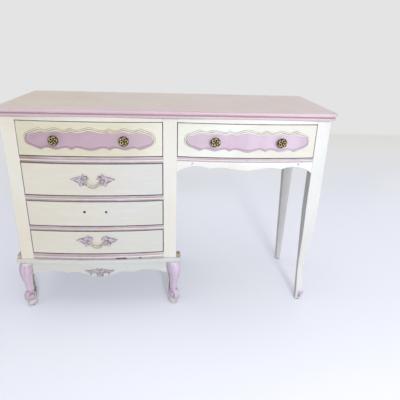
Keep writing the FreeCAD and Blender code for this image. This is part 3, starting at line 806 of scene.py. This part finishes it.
def moulded_rail(node):
    """A bow-fronted rail with a flat band over a bead, and a small rebate under it."""
    low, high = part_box(node)
    centre = (low.x + high.x) / 2
    crown = swelling(centre, centre)
    bm, wear_and_highlight, dirt_and_shade, field = marked_mesh("wear_and_highlight", "dirt_and_shade", "field")
    tall = high.z - low.z
    front = []
    for share, back, highlight_and_wear, darkening, bead_highlight in RAIL_PROFILE:
        face_y = low.y - crown + swelling(low.x, centre)
        vert = bm.verts.new((low.x, face_y + back * MM, high.z - share * tall))
        vert[wear_and_highlight], vert[dirt_and_shade], vert[field] = highlight_and_wear, darkening, bead_highlight
        front.append(vert)
    rear = [bm.verts.new((low.x, high.y, z)) for z in (low.z, high.z)]
    # Darker towards the back edge.
    for vert in rear:
        vert[dirt_and_shade] = 0.6
    end = bm.faces.new(front + rear)
    last, steps = low.x, 36
    for i in range(1, steps + 1):
        x = low.x + (high.x - low.x) * i / steps
        end = pushed_out(bm, end)
        for vert in end.verts:
            vert.co.x = x
            if vert.co.y < high.y - 1e-6:
                vert.co.y += swelling(x, centre) - swelling(last, centre)
        last = x
    close_up(bm)
    finish_node(node, bm, sharp=50.0)


# ---------------------------------------------------------------- drawer fronts with a raised panel


PANEL_HALF = 0.038


def scalloped_line():
    """The outer line of the panel, from its middle: humps between outward cusps, and blunt tips."""
    hump, hollow = PANEL_HALF, 0.0305
    inner, outer, tip = 0.063, 0.165, bank_half - 0.024
    dip = 0.019
    between = (inner + outer) / 2
    runs = [
        [(-inner, hump), (-inner + dip, hollow), (0, hump + 0.0025), (inner - dip, hollow), (inner, hump)],
        [(inner, hump), (inner + dip, hollow), (between, hump), (outer - dip, hollow), (outer, hump)],
        [(outer, hump), (outer + dip, hollow), (tip - dip * 0.35, hump * 0.45), (tip, 0)],
    ]
    runs.append([(x, -z) for x, z in reversed(runs[2])])
    runs.append([(x, -z) for x, z in reversed(runs[1])])
    line = []
    for turn in (1, -1):
        for run in runs:
            line += smooth_line([(turn * x, 0.0, turn * z) for x, z in run], 5)[:-1]
    return line


# (distance in from the outer line, height, wear and painted highlight, grime and painted shade), in
# millimetres: the dark marks in the quirks of the border are painted shade.
PANEL_BORDER = [
    (-1.2, 0.0, 0.0, 0.0),
    (0.0, 0.0, 0.2, 0.8),
    (0.4, 1.2, 0.2, 0.6),
    (1.2, 2.6, 0.6, 0.0),
    (2.6, 3.3, 0.6, 0.0),
    (4.2, 3.2, 0.2, 0.1),
    (4.8, 2.6, 0.0, 0.95),
    (5.6, 2.7, 0.0, 0.75),
    (7.4, 4.2, 0.4, 0.0),
    (9.4, 6.0, 0.5, 0.0),
    (10.0, 6.2, 0.0, 0.85),
    (10.5, 7.0, 0.1, 0.2),
    (12.0, 7.0, 0.0, 0.0),
]


def panelled_front(node, knobs):
    """A bow drawer front with a raised scalloped panel inside a moulded border."""
    low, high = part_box(node)
    knob_low, knob_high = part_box(knobs)
    middle = Vector(((low.x + high.x) / 2, 0.0, (knob_low.z + knob_high.z) / 2))
    centre = pedestal_x if middle.x < 0 else kneehole_x
    toward = -math.copysign(1.0, middle.x)
    bm, wear_and_highlight, dirt_and_shade, field = marked_mesh("wear_and_highlight", "dirt_and_shade", "field")
    corners = ((low.x, low.z), (high.x, low.z), (high.x, high.z), (low.x, high.z))
    frame_verts = [bm.verts.new((x, 0.0, z)) for x, z in corners]
    frame_edges = [bm.edges.new((frame_verts[i - 1], frame_verts[i])) for i in range(4)]
    outline = scalloped_line()
    tip = max(p.x for p in outline)
    ring = [bm.verts.new(p * (1 - PANEL_BORDER[0][0] * MM / tip) + middle) for p in outline]
    loop = [bm.edges.new((ring[i - 1], ring[i])) for i in range(len(ring))]
    bmesh.ops.triangle_fill(
        bm, use_beauty=True, use_dissolve=False, edges=frame_edges + loop, normal=FORWARD
    )
    fresh, last = ring, PANEL_BORDER[0][0]
    for inset, height, highlight_and_wear, darkening in PANEL_BORDER:
        if inset > last:
            fresh, loop = drawn_out(bm, loop)
        for vert in fresh:
            offset = vert.co - middle
            offset.x *= (tip - inset * MM) / (tip - last * MM)
            offset.z *= (PANEL_HALF - inset * MM) / (PANEL_HALF - last * MM)
            vert.co = middle + Vector((offset.x, -height * MM, offset.z))
            rise = max(-1.0, min(1.0, offset.z / 0.022))
            sideways = max(-1.0, min(1.0, offset.x / (tip - 0.05)))
            painted_to = 6.0 + 5.0 * rise + 3.5 * toward * sideways * (1 - abs(rise))
            vert[wear_and_highlight], vert[dirt_and_shade] = highlight_and_wear, darkening
            vert[field] = 20.0 + inset - painted_to
        last = inset
    bmesh.ops.edgeloop_fill(bm, edges=loop)
    slice_up(bm, 40)
    lit_and_worn_width, faded_by = 0.0020, 0.0052
    for step in (lit_and_worn_width, faded_by):
        for corner, way in ((low, 1), (high, -1)):
            for across in (Vector((1, 0, 0)), UP):
                cut_through(bm, corner + across * (way * step), across)

    def margin(vert):
        """How far a point is from the nearest side of the front."""
        return min(vert.co.x - low.x, high.x - vert.co.x, vert.co.z - low.z, high.z - vert.co.z)

    slanting = []
    for edge in bm.edges:
        run = edge.verts[0].co - edge.verts[1].co
        in_strip = all(margin(vert) < faded_by + 0.0001 for vert in edge.verts)
        if in_strip and min(abs(run.x), abs(run.z)) > 1e-5:
            slanting.append(edge)
    bmesh.ops.dissolve_edges(bm, edges=slanting, use_verts=True)
    rim = [edge for edge in bm.edges if edge.is_boundary]
    # The edge of the front is marked dark, painted shade of the gap round it, and lighter just inside,
    # painted highlight and wear.
    for vert in {vert for edge in rim for vert in edge.verts}:
        vert[wear_and_highlight], vert[dirt_and_shade] = 1.0, 1.0
    for vert in bm.verts:
        if 0.0001 < margin(vert) < 2 * lit_and_worn_width:
            vert[wear_and_highlight] = 1.0
        vert.co.y += swelling(vert.co.x, centre)
    rear = rim
    # The sides going back are a little darker: painted shade of the gap.
    for back, highlight_and_wear, darkening in ((0.0026, 0.0, 0.25), (1.0, 0.0, 0.0)):
        fresh, rear = drawn_out(bm, rear)
        for vert in fresh:
            vert.co.y = min(vert.co.y + back, high.y)
            vert[wear_and_highlight], vert[dirt_and_shade] = highlight_and_wear, darkening
    bmesh.ops.edgeloop_fill(bm, edges=rear)
    close_up(bm)
    arrises = []
    for edge in bm.edges:
        on_rim = all(margin(vert) < 1e-5 for vert in edge.verts)
        if on_rim and edge.calc_face_angle(0.0) > 0.8:
            arrises.append(edge)
    round_off(bm, arrises, 0.0012)
    finish_node(node, bm, "front_paint", "panelled_paint", 30.0)


# ---------------------------------------------------------------- knobs and pulls


# (radius, height above the drawer) of the stem, in millimetres
KNOB_STEM = [(0.0, 0.5), (8.5, 0.5), (8.8, 2.5), (7.0, 4.0), (5.5, 7.0)]

# (radius, depth under the face) of the shoulder and of the sunk heart
KNOB_SHOULDER = [(5.2, 12.5), (8.5, 10.5), (14.5, 9.5)]
KNOB_HEART = [(9.0, 4.0), (4.5, 3.6), (3.2, 1.6), (2.0, 1.4), (1.2, 4.0), (0.0, 4.2)]

# (distance in from the outermost, depth under the face) of the rim between them
KNOB_RIM = [(0.6, 7.5), (0.0, 5.5), (0.5, 3.5), (1.8, 2.0), (3.4, 2.4), (4.4, 4.4)]

# (out from the middle, sideways, depth under the face) of one of the five scrolls
KNOB_SCROLL = [
    (2.6, 0.0, 3.4),
    (6.0, 2.4, 2.3),
    (9.8, 3.4, 1.9),
    (12.8, 0.2, 2.1),
    (12.2, -4.4, 2.3),
    (9.0, -4.6, 2.6),
]


def knob_pair(node):
    """Turned knobs, dark below, with a bright scrolled openwork face."""
    low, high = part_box(node)
    radius = (high.z - low.z) / 2
    length = high.y - low.y
    level = (low.z + high.z) / 2
    centres = (low.x + radius, high.x - radius)
    profile = [(r * MM, h * MM) for r, h in KNOB_STEM]
    profile += [(r * MM, length - deep * MM) for r, deep in KNOB_SHOULDER]
    profile += [(radius - back * MM, length - deep * MM) for back, deep in KNOB_RIM]
    profile += [(r * MM, length - deep * MM) for r, deep in KNOB_HEART]
    run = smooth_line([(u * MM, v * MM, length - deep * MM) for u, v, deep in KNOB_SCROLL], 3)
    count = len(run) - 1
    sizes = [(0.0011 + 0.0007 * math.sin(math.pi * i / count), 0.0012) for i in range(count + 1)]
    bm, wear_and_highlight = marked_mesh("wear_and_highlight")
    for x in centres:
        place = Matrix.Translation((x, high.y, level)) @ Matrix.Rotation(math.pi / 2, 4, "X")
        turned(bm, profile, place, 32)
        for turn in range(5):
            spin = Matrix.Rotation(math.tau * (turn + 0.15) / 5, 4, "Z")
            bar(bm, [place @ spin @ point for point in run], FORWARD, sizes, 6, 1.0, 0.95, wear_and_highlight)
    for vert in bm.verts:
        reach = min(math.hypot(vert.co.x - x, vert.co.z - level) for x in centres)
        if radius - 0.0030 < reach < radius - 0.0010 and vert.co.y - low.y < 0.003:
            vert[wear_and_highlight] = 0.45
    close_up(bm)
    finish_node(node, bm, "antique_brass", sharp=50.0)


# the two screws of a pull, middle to middle
PULL_SPACING = 0.0762

# (radius, height) of the boss that holds the handle, in millimetres
BOSS = [(0, 0), (6.4, 0), (6.0, 6), (5.0, 9.5), (3.0, 11.2), (0, 11.6)]

# (spine outwards and up from the screw, half width, dome, lobes), in millimetres
PLATE_LEAVES = [
    ([(-4, -2), (6, 1), (16, 3), (26, 4.2), (37.2, 4.5)], 12.5, 3.6, 3),
    ([(-3, 2), (-4, 10), (-5, 17), (-5.5, 24)], 5.6, 3.4, 0),
    ([(-1, 5), (4, 10), (8, 13), (11, 13)], 4.0, 2.4, 0),
    ([(-5, 4), (-10, 9), (-15, 13.5), (-19, 18)], 4.8, 3.2, 0),
    ([(-8, 4), (-14, 8), (-20, 8), (-24, 4)], 4.2, 2.8, 0),
    ([(-4, 0), (-9, -3), (-14, -6), (-18.5, -8)], 5.4, 2.8, 0),
    ([(0, -3), (2, -10), (4, -17), (5, -22.5)], 8.0, 3.0, 2),
    ([(-3, -5), (-8, -10), (-12, -15), (-15.5, -18)], 4.8, 2.6, 0),
]


def pull_plates(node):
    """A pair of cast leaf plates: a long leaf out, a spike up, a curl inwards and lobes below."""
    low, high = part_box(node)
    bm, wear_and_highlight, dirt_and_shade = marked_mesh("wear_and_highlight", "dirt_and_shade")
    middle_x = (low.x + high.x) / 2
    level = low.z + 0.022
    for hand in (-1, 1):
        x = middle_x + hand * PULL_SPACING / 2
        for spine, width, dome, lobes in PLATE_LEAVES:
            line = []
            for i, (u, v) in enumerate(spine):
                leaf_x = x + hand * u * MM
                line.append((leaf_x, swelling(leaf_x, middle_x) - 0.0018 - 0.0006 * i, level + v * MM))
            across = (Vector(line[-1]) - Vector(line[0])).cross(FORWARD)
            leaf(bm, line, across, width * MM, -dome * MM, 0.0016, 0.45, lobes, pointed=width > 10)
        seat = Matrix.Translation((x - hand * 0.003, swelling(x, middle_x), level - 0.003))
        place = seat @ Matrix.Rotation(math.pi / 2, 4, "X")
        before = set(bm.verts)
        turned(bm, [(r * MM, h * MM) for r, h in BOSS], place, 16)
        for vert in bm.verts:
            if vert not in before:
                ahead = (place.inverted() @ vert.co).z
                vert[wear_and_highlight], vert[dirt_and_shade] = (0.5, 0.25) if ahead > 0.009 else (0.0, 1.0)
    close_up(bm)
    finish_node(node, bm, "plate_paint", sharp=60.0)


def bail(node):
    """A drop handle, thin at its ends and swelling to a broad crescent in the middle."""
    low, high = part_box(node)
    middle = (low.x + high.x) / 2
    y = (low.y + high.y) / 2
    axis_z = high.z - 0.0032
    half = (high.x - low.x) / 2
    left = [
        (-half, 0.0),
        (-half + 0.0065, 0.0),
        (-0.0270, -0.0022),
        (-0.0206, -0.0085),
        (-0.0150, -0.0165),
        (-0.0080, -0.0212),
        (0.0, -0.0226),
    ]
    spots = left + [(-x, z) for x, z in reversed(left[:-1])]
    line = smooth_line([(middle + x, y, axis_z + z) for x, z in spots], 4)
    sizes = []
    for point in line:
        reach = min(1.0, abs(point.x - middle) / 0.024)
        swell = 1 - reach**2.4
        sizes.append((0.0018 + 0.0014 * swell, 0.0018 + 0.0038 * swell))
    bm, wear_and_highlight = marked_mesh("wear_and_highlight")
    bar(bm, line, Vector((0, 1, 0)), sizes, 12, 1.0, 0.62, wear_and_highlight)
    close_up(bm)
    finish_node(node, bm, "bail_metal", sharp=50.0)


# ---------------------------------------------------------------- feet and carving


def oval(place, first, second, wide, tall):
    """A place for an oval section: its two half widths lie along the two directions."""
    return placed(first * wide, second * tall, first.cross(second) * MM, place)


def scroll(bm, middle, outwards, radius, half_width, thick, turns=1.5, tall=1.0, lead=(), wash=0.0):
    """A strip on edge that comes down the lead and rolls up into a volute with a sunk heart."""
    side = outwards.cross(UP).normalized()
    wear_and_highlight, dirt_and_shade, field = (bm.verts.layers.float[name] for name in ("wear_and_highlight", "dirt_and_shade", "field"))
    steps = int(turns * 28)
    line = smooth_line(lead, 4)[:-1] if lead else []
    shares = [0.0] * len(line)
    for i in range(steps + 1):
        share = i / steps
        angle = math.pi + math.tau * turns * share
        closing = max(0.0, (share - 0.26) / 0.74)
        reach = (radius - thick / 2) * (1 - 0.72 * closing**0.9)
        line.append(middle + outwards * (reach * math.cos(angle)) + UP * (reach * tall * math.sin(angle)))
        shares.append(share)
    sizes = [(half_width * (0.92 + 0.12 * share), thick / 2 * (1.0 - 0.25 * share)) for share in shares]
    for vert in bar(bm, line, side, sizes, 12, 0.5):
        i = min(range(len(line)), key=lambda k: (line[k] - vert.co).length_squared)
        away = heading_at(line, i).cross(side).normalized().dot(vert.co - line[i])
        vert[wear_and_highlight] = 0.6
        # The back of the strip is darker: painted shade, darkest low down on a washed strip.
        if away > 0.1 * thick and shares[i] < 0.5:
            vert[dirt_and_shade] = 1.0 if shares[i] < 0.2 and wash else 0.22
        vert[field] = wash if shares[i] < 0.3 else 0.0
    # The sunk heart is darker.
    for parts, darkening in (
        (((-0.86, 0.4), (-0.80, 0.80), (0.80, 0.80), (0.86, 0.4)), 0.45),
        (((-1.12, 0.16), (-1.06, 0.24), (1.06, 0.24), (1.12, 0.16)), 0.1),
    ):
        stations = [
            oval(middle + side * (over * half_width), outwards, UP, radius * share, radius * share * tall)
            for over, share in parts
        ]
        for vert in sweep(bm, stations, 24):
            vert[dirt_and_shade] = darkening
            vert[field] = wash if vert.co.z < middle.z - 0.3 * radius else 0.0


# (height, out, back, half width), in millimetres
FOOT_SHAPE = [
    (196.4, 22, 18, 16),
    (194, 29, 20, 18.5),
    (188, 34.5, 21, 20.5),
    (178, 39, 21, 20.5),
    (165, 41.5, 19, 20),
    (150, 41.5, 15, 18.5),
    (128, 37, 10, 15),
    (106, 31, 8, 12.5),
    (92, 27.5, 9, 11.5),
    (78, 27, 10, 11),
    (62, 22, 10, 10),
]

# (out, height) of the strip down the back of a foot, in millimetres
BACK_STRIP = [(-5.5, 140), (-5, 118), (-7, 96), (-9.5, 76), (-10, 60)]

# (height, radius) of the low pad, in millimetres
FOOT_PAD = [(4.1, 14.0), (6, 16.5), (13, 18.5), (22, 18.0), (26, 14.5)]

# how far round from the toe each carved groove runs, in radians
FOOT_GROOVES = (0.55, 1.15, 1.9)

# half of the square block above a foot
BLOCK_HALF = 0.019


def scroll_foot(node, toe_degrees, block_x):
    """A cabriole foot: a rounded knee, a slim ankle, and a strip down its back rolled into a whorl."""
    toe = math.radians(toe_degrees)
    outwards = Vector((math.cos(toe), math.sin(toe), 0.0))
    side = Vector((-outwards.y, outwards.x, 0.0))
    base = Vector((block_x, post_face + BLOCK_HALF, 0.0))
    bm, wear_and_highlight, dirt_and_shade, field = marked_mesh("wear_and_highlight", "dirt_and_shade", "field")
    rows = smooth_line([(z, out, back) for z, out, back, half in FOOT_SHAPE], 3)
    halves = smooth_line([(z, half, 0) for z, out, back, half in FOOT_SHAPE], 3)
    stations = []
    for (z, out, back), (_, half, _) in zip(rows, halves):
        middle = base + outwards * ((out - back) / 2 * MM) + UP * (z * MM)
        stations.append(oval(middle, outwards, side, (out + back) / 2 * MM, half * MM))
    for vert in sweep(bm, stations, 48, 0.8):
        offset = vert.co - base
        turn = abs(math.atan2(offset.dot(side), offset.dot(outwards) - 0.004))
        height = vert.co.z
        carved = max(math.exp(-(((turn - g + (0.175 - height) * 4) / 0.09) ** 2)) for g in FOOT_GROOVES)
        depth = carved * max(0.0, min(1.0, (height - 0.10) / 0.03))
        over_arch = height - 0.1905 + 0.0025 * turn**2
        behind = turn > (1.75 if height > 0.145 else 1.2)
        # Low on the back the foot is painted dark: painted shade behind the strip.
        in_shade = turn > 1.6 and height < 0.137
        vert[field] = 1.0 if over_arch > 0.0 or behind else 0.0
        vert[dirt_and_shade] = max(0.4 * depth, 0.3 if height > 0.1945 else 0.0, 0.7 if in_shade else 0.0)
        vert[wear_and_highlight] = 0.5 * (1 - carved)
        vert.co -= (offset - UP * height).normalized() * (0.0012 * depth)
    whorl = base + outwards * 0.0135 + UP * 0.043
    lead = [base + outwards * (out * MM) + UP * (z * MM) for out, z in BACK_STRIP]
    scroll(bm, whorl, outwards, 0.0245, 0.0130, 0.0050, 1.5, 1.3, lead + [whorl - outwards * 0.022], 1.0)
    pad = [
        oval(base + outwards * 0.011 + UP * (z * MM), outwards, side, wide * MM, wide * 0.85 * MM)
        for z, wide in FOOT_PAD
    ]
    for vert in sweep(bm, pad, 24, 0.7):
        vert[field] = 1.0
        # Darker at the very bottom: painted contact shade by the floor.
        vert[dirt_and_shade] = 0.8 if vert.co.z < 0.005 else 0.15
    close_up(bm)
    finish_node(node, bm, "trim_paint", sharp=50.0)


def toe_whorl():
    """The small whorl carved on the toe of the front right leg."""
    outwards = Vector((1, -1, 0)).normalized()
    bm = marked_mesh("wear_and_highlight", "dirt_and_shade", "field")[0]
    from_corner, height = 0.0225, 0.030
    foot = Vector((leg_high.x - from_corner, leg_low.y + from_corner, height))
    scroll(bm, foot + outwards * 0.008, outwards, 0.0128, 0.0130, 0.0034, 1.25, 1.45, (), 1.0)
    close_up(bm)
    finish_piece("toe_whorl", bm, "case", "trim_paint", sharp=50.0)


# (spine out from the middle and height above the floor, half width, dome, lobes), in millimetres
SPRAY_LEAVES = [
    ([(14.5, 171), (26, 167), (38, 164.5), (48, 167), (55.5, 171.3)], 5.0, 3.0, 3),
    ([(20, 168), (28, 163), (33, 156), (34.8, 146)], 3.8, 2.6, 0),
    ([(8, 154), (15, 159), (24.7, 161), (31, 157)], 3.2, 2.4, 0),
    ([(1, 168), (5, 170), (9, 173), (13.5, 177)], 3.4, 2.4, 0),
    ([(1, 166), (5, 168), (9, 168), (12, 166)], 3.0, 2.2, 0),
    ([(1, 158), (5, 153), (9, 147), (12.3, 142)], 4.6, 2.6, 0),
]


def apron_spray():
    """The carved spray on the pedestal apron: two wings, drop curls, and leaves at the middle."""
    face_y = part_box("base_apron")[0].y
    bm = marked_mesh("wear_and_highlight", "dirt_and_shade", "field")[0]
    for spine, width, dome, lobes in SPRAY_LEAVES:
        for hand in (-1, 1):
            line = []
            for i, (u, z) in enumerate(spine):
                line.append((pedestal_x + hand * u * MM, face_y - 0.0004 - 0.0003 * i, z * MM))
            across = (Vector(line[-1]) - Vector(line[0])).cross(FORWARD)
            leaf(bm, line, across, width * 1.15 * MM, -dome * MM, 0.0014, 0.3, lobes, 0.25, 1.6)
    for heights, width in (((159, 152, 146, 139.8), 0.0066), ((157, 163, 170, 176.5), 0.0046)):
        line = [(pedestal_x, face_y - 0.0016, z * MM) for z in heights]
        dome = math.copysign(0.0034, heights[0] - heights[-1])
        leaf(bm, line, Vector((1, 0, 0)), width, dome, 0.0014, 0.2, 2, 0.15, 1.6)
    close_up(bm)
    finish_piece("apron_spray", bm, "case", "trim_paint", ["apron_carving"], "carved_paint", 60.0)


# ---------------------------------------------------------------- making

top_board()
for node in ("front_left_post", "front_centre_post", "back_left_post", "back_centre_post"):
    dress(node)
for node in ("left_side_panel", "kneehole_side_panel", "right_end_rail", "kneehole_back_rail"):
    dress(node, 0.0008)
dress("pedestal_back_panel", 0.0006, "cross_wood")
for node in ("pedestal_top_rail", "kneehole_top_rail"):
    dress(node, 0.0010, "board_paint")
for node in (
    "drawer_rail_upper",
    "drawer_rail_middle",
    "drawer_rail_lower",
    "pedestal_bottom_rail",
    "kneehole_drawer_rail",
):
    moulded_rail(node)
dress("base_board", 0.0030, "base_paint", 3, 0.12)
dress("base_apron", 0.0012, "base_paint", 2, 0.0, 60)
dress("kneehole_apron", 0.0012, "board_paint", 2, 0.0, 60)
dress("base_mouldings", 0.0030, None, 3)
for node in ("back_left_foot", "back_inner_foot", "back_right_leg"):
    dress(node, 0.0015, None, 2, 0.0)
dress("front_right_leg", 0.0022, None, 3, 0.0)
dress("drawer_runners", 0.0006)
dress("glides", 0.0008)
for node in ("second_drawer_front", "third_drawer_front", "bottom_drawer_front"):
    plain_front(node)
for drawer in ("upper", "kneehole", "second", "third", "bottom"):
    dress(drawer + "_drawer_sides", 0.0008)
    dress(drawer + "_drawer_back", 0.0008, "cross_wood")
    dress(drawer + "_drawer_bottom", 0.0004, "cross_wood")
for node in ("upper_screws", "kneehole_screws", "second_screws", "bottom_screws"):
    dress(node, 0.0003)
panelled_front("upper_drawer_front", "upper_knobs")
panelled_front("kneehole_drawer_front", "kneehole_knobs")
knob_pair("upper_knobs")
knob_pair("kneehole_knobs")
for drawer in ("second", "bottom"):
    pull_plates(drawer + "_pull_plates")
    bail(drawer + "_bail")
scroll_foot("front_left_foot", 225.0, post_low.x + BLOCK_HALF)
scroll_foot("front_inner_foot", 315.0, centre_high.x - BLOCK_HALF)
toe_whorl()
apron_spray()


# ---------------------------------------------------------------- room, light and camera


# The floor's colours, greyer at the left and far back than at the right, paint the fall-off of the room's
# light across the floor.
FLOOR_LEFT = srgb(230, 232, 241)
FLOOR_RIGHT = srgb(240, 242, 252)
FLOOR_FAR = srgb(221, 220, 218)
BACKDROP = srgb(228, 228, 229)


def seen_directly(tree):
    """1 for what is seen, straight or through a reflection, and 0 for light falling on other things."""
    path = tree.nodes.new("ShaderNodeLightPath")
    either = tree.nodes.new("ShaderNodeMath")
    either.operation = "MAXIMUM"
    tree.links.new(path.outputs["Is Camera Ray"], either.inputs[0])
    tree.links.new(path.outputs["Is Glossy Ray"], either.inputs[1])
    return either.outputs[0]


def run_together(tree, amount, first, second, output):
    """Gives an output the first of two shaders, and the second by an amount."""
    pick = tree.nodes.new("ShaderNodeMixShader")
    for i, source in enumerate((amount, first.outputs[0], second.outputs[0])):
        tree.links.new(source, pick.inputs[i])
    tree.links.new(pick.outputs[0], tree.nodes[output].inputs["Surface"])


def floor_paint():
    """Pale floor that keeps its shadows, painted greyer to the left and far back as painted light fall-off,
    and runs out into the plain backdrop behind the table.
    """
    finish = Finish("floor_paint", 0.9, specular=0.0)
    away = finish.axis("Y")
    colour = finish.coat(FLOOR_LEFT, FLOOR_RIGHT, finish.axis("X"), -1.2, 0.9)
    colour = finish.coat(colour, FLOOR_FAR, away, 0.3, 2.9)
    lit = finish.blend(1.0, colour, (0.94, 0.92, 0.90, 1.0), "MULTIPLY")
    finish.colour(finish.blend(seen_directly(finish.tree), (0.5, 0.51, 0.54, 1.0), lit))
    glow = finish.blend(1.0, colour, (0.18, 0.195, 0.215, 1.0), "MULTIPLY")
    finish.feed(finish.shader.inputs["Emission Color"], glow)
    finish.feed(finish.shader.inputs["Emission Strength"], seen_directly(finish.tree))
    beyond = finish.node("ShaderNodeEmission")
    finish.feed(beyond.inputs["Color"], finish.coat(colour, BACKDROP, away, 2.9, 3.05))
    aside = finish.sum(
        "MAXIMUM",
        finish.band(finish.axis("X"), -0.7, -1.6, 0.0, 0.8),
        finish.band(finish.axis("X"), 0.9, 2.0, 0.0, 0.7),
    )
    edge = finish.sum("MAXIMUM", finish.band(away, 0.5, 2.4), aside)
    amount = finish.sum("MULTIPLY", edge, seen_directly(finish.tree))
    run_together(finish.tree, amount, finish.shader, beyond, "Material Output")
    return finish.material


def room():
    """The floor, which stays with the room and is no part of the table."""
    bm = bmesh.new()
    bmesh.ops.create_grid(bm, x_segments=1, y_segments=1, size=9.0)
    mesh = bpy.data.meshes.new("floor")
    bm.to_mesh(mesh)
    bm.free()
    mesh.materials.append(floor_paint())
    floor = set_out("floor", mesh)


def lamp(name, place, target, size, power, colour):
    """A soft rectangular lamp turned to its target."""
    data = bpy.data.lights.new(name, "AREA")
    data.shape = "RECTANGLE"
    data.size, data.size_y = size
    data.energy = power
    data.color = colour
    made = set_out(name, data)
    made.location = place
    made.rotation_mode = "QUATERNION"
    made.rotation_quaternion = (Vector(target) - Vector(place)).to_track_quat("-Z", "Y")


def lighting():
    """A small soft lamp in front, a broad one below it, one overhead, and an even pale room."""
    lamp("front_lamp", (0.62, -3.7, 2.05), (0.1, 0, 0.4), (0.45, 0.35), 54.0, (1.0, 0.985, 0.96))
    lamp("fill_lamp", (0.8, -3.4, 1.3), (0.1, 0, 0.4), (2.4, 1.6), 44.0, (0.975, 0.98, 1.0))
    lamp("ceiling_lamp", (0.1, 0.5, 3.5), (0.1, 0.5, 0), (4.6, 4.6), 44.0, (0.97, 0.985, 1.0))
    world = bpy.data.worlds.new("room_light")
    bpy.context.scene.world = world
    world.use_nodes = True
    tree = world.node_tree
    background = tree.nodes["Background"]
    background.inputs["Color"].default_value = (0.96, 0.98, 1.0, 1.0)
    background.inputs["Strength"].default_value = 0.42
    seen = tree.nodes.new("ShaderNodeBackground")
    seen.inputs["Color"].default_value = BACKDROP
    run_together(tree, seen_directly(tree), background, seen, "World Output")


def camera():
    """In front, a metre above the floor, looking down and a little to the right, and not quite level."""
    yaw, pitch, roll = math.radians(-4.52), math.radians(22.17), math.radians(1.81)
    level = Vector((-math.sin(yaw), math.cos(yaw), 0.0))
    right = Vector((math.cos(yaw), math.sin(yaw), 0.0))
    ahead = level * math.cos(pitch) - UP * math.sin(pitch)
    up = level * math.sin(pitch) + UP * math.cos(pitch)
    right_hand = right * math.cos(roll) + up * math.sin(roll)
    overhead = up * math.cos(roll) - right * math.sin(roll)
    data = bpy.data.cameras.new("camera")
    data.sensor_width = 36.0
    data.lens = 35.7
    made = set_out("camera", data)
    made.matrix_world = placed(right_hand, overhead, -ahead, Vector((0.0035, -1.5275, 0.9975)))
    bpy.context.scene.camera = made


room()
lighting()
camera()
bpy.context.scene.view_settings.view_transform = "Standard"
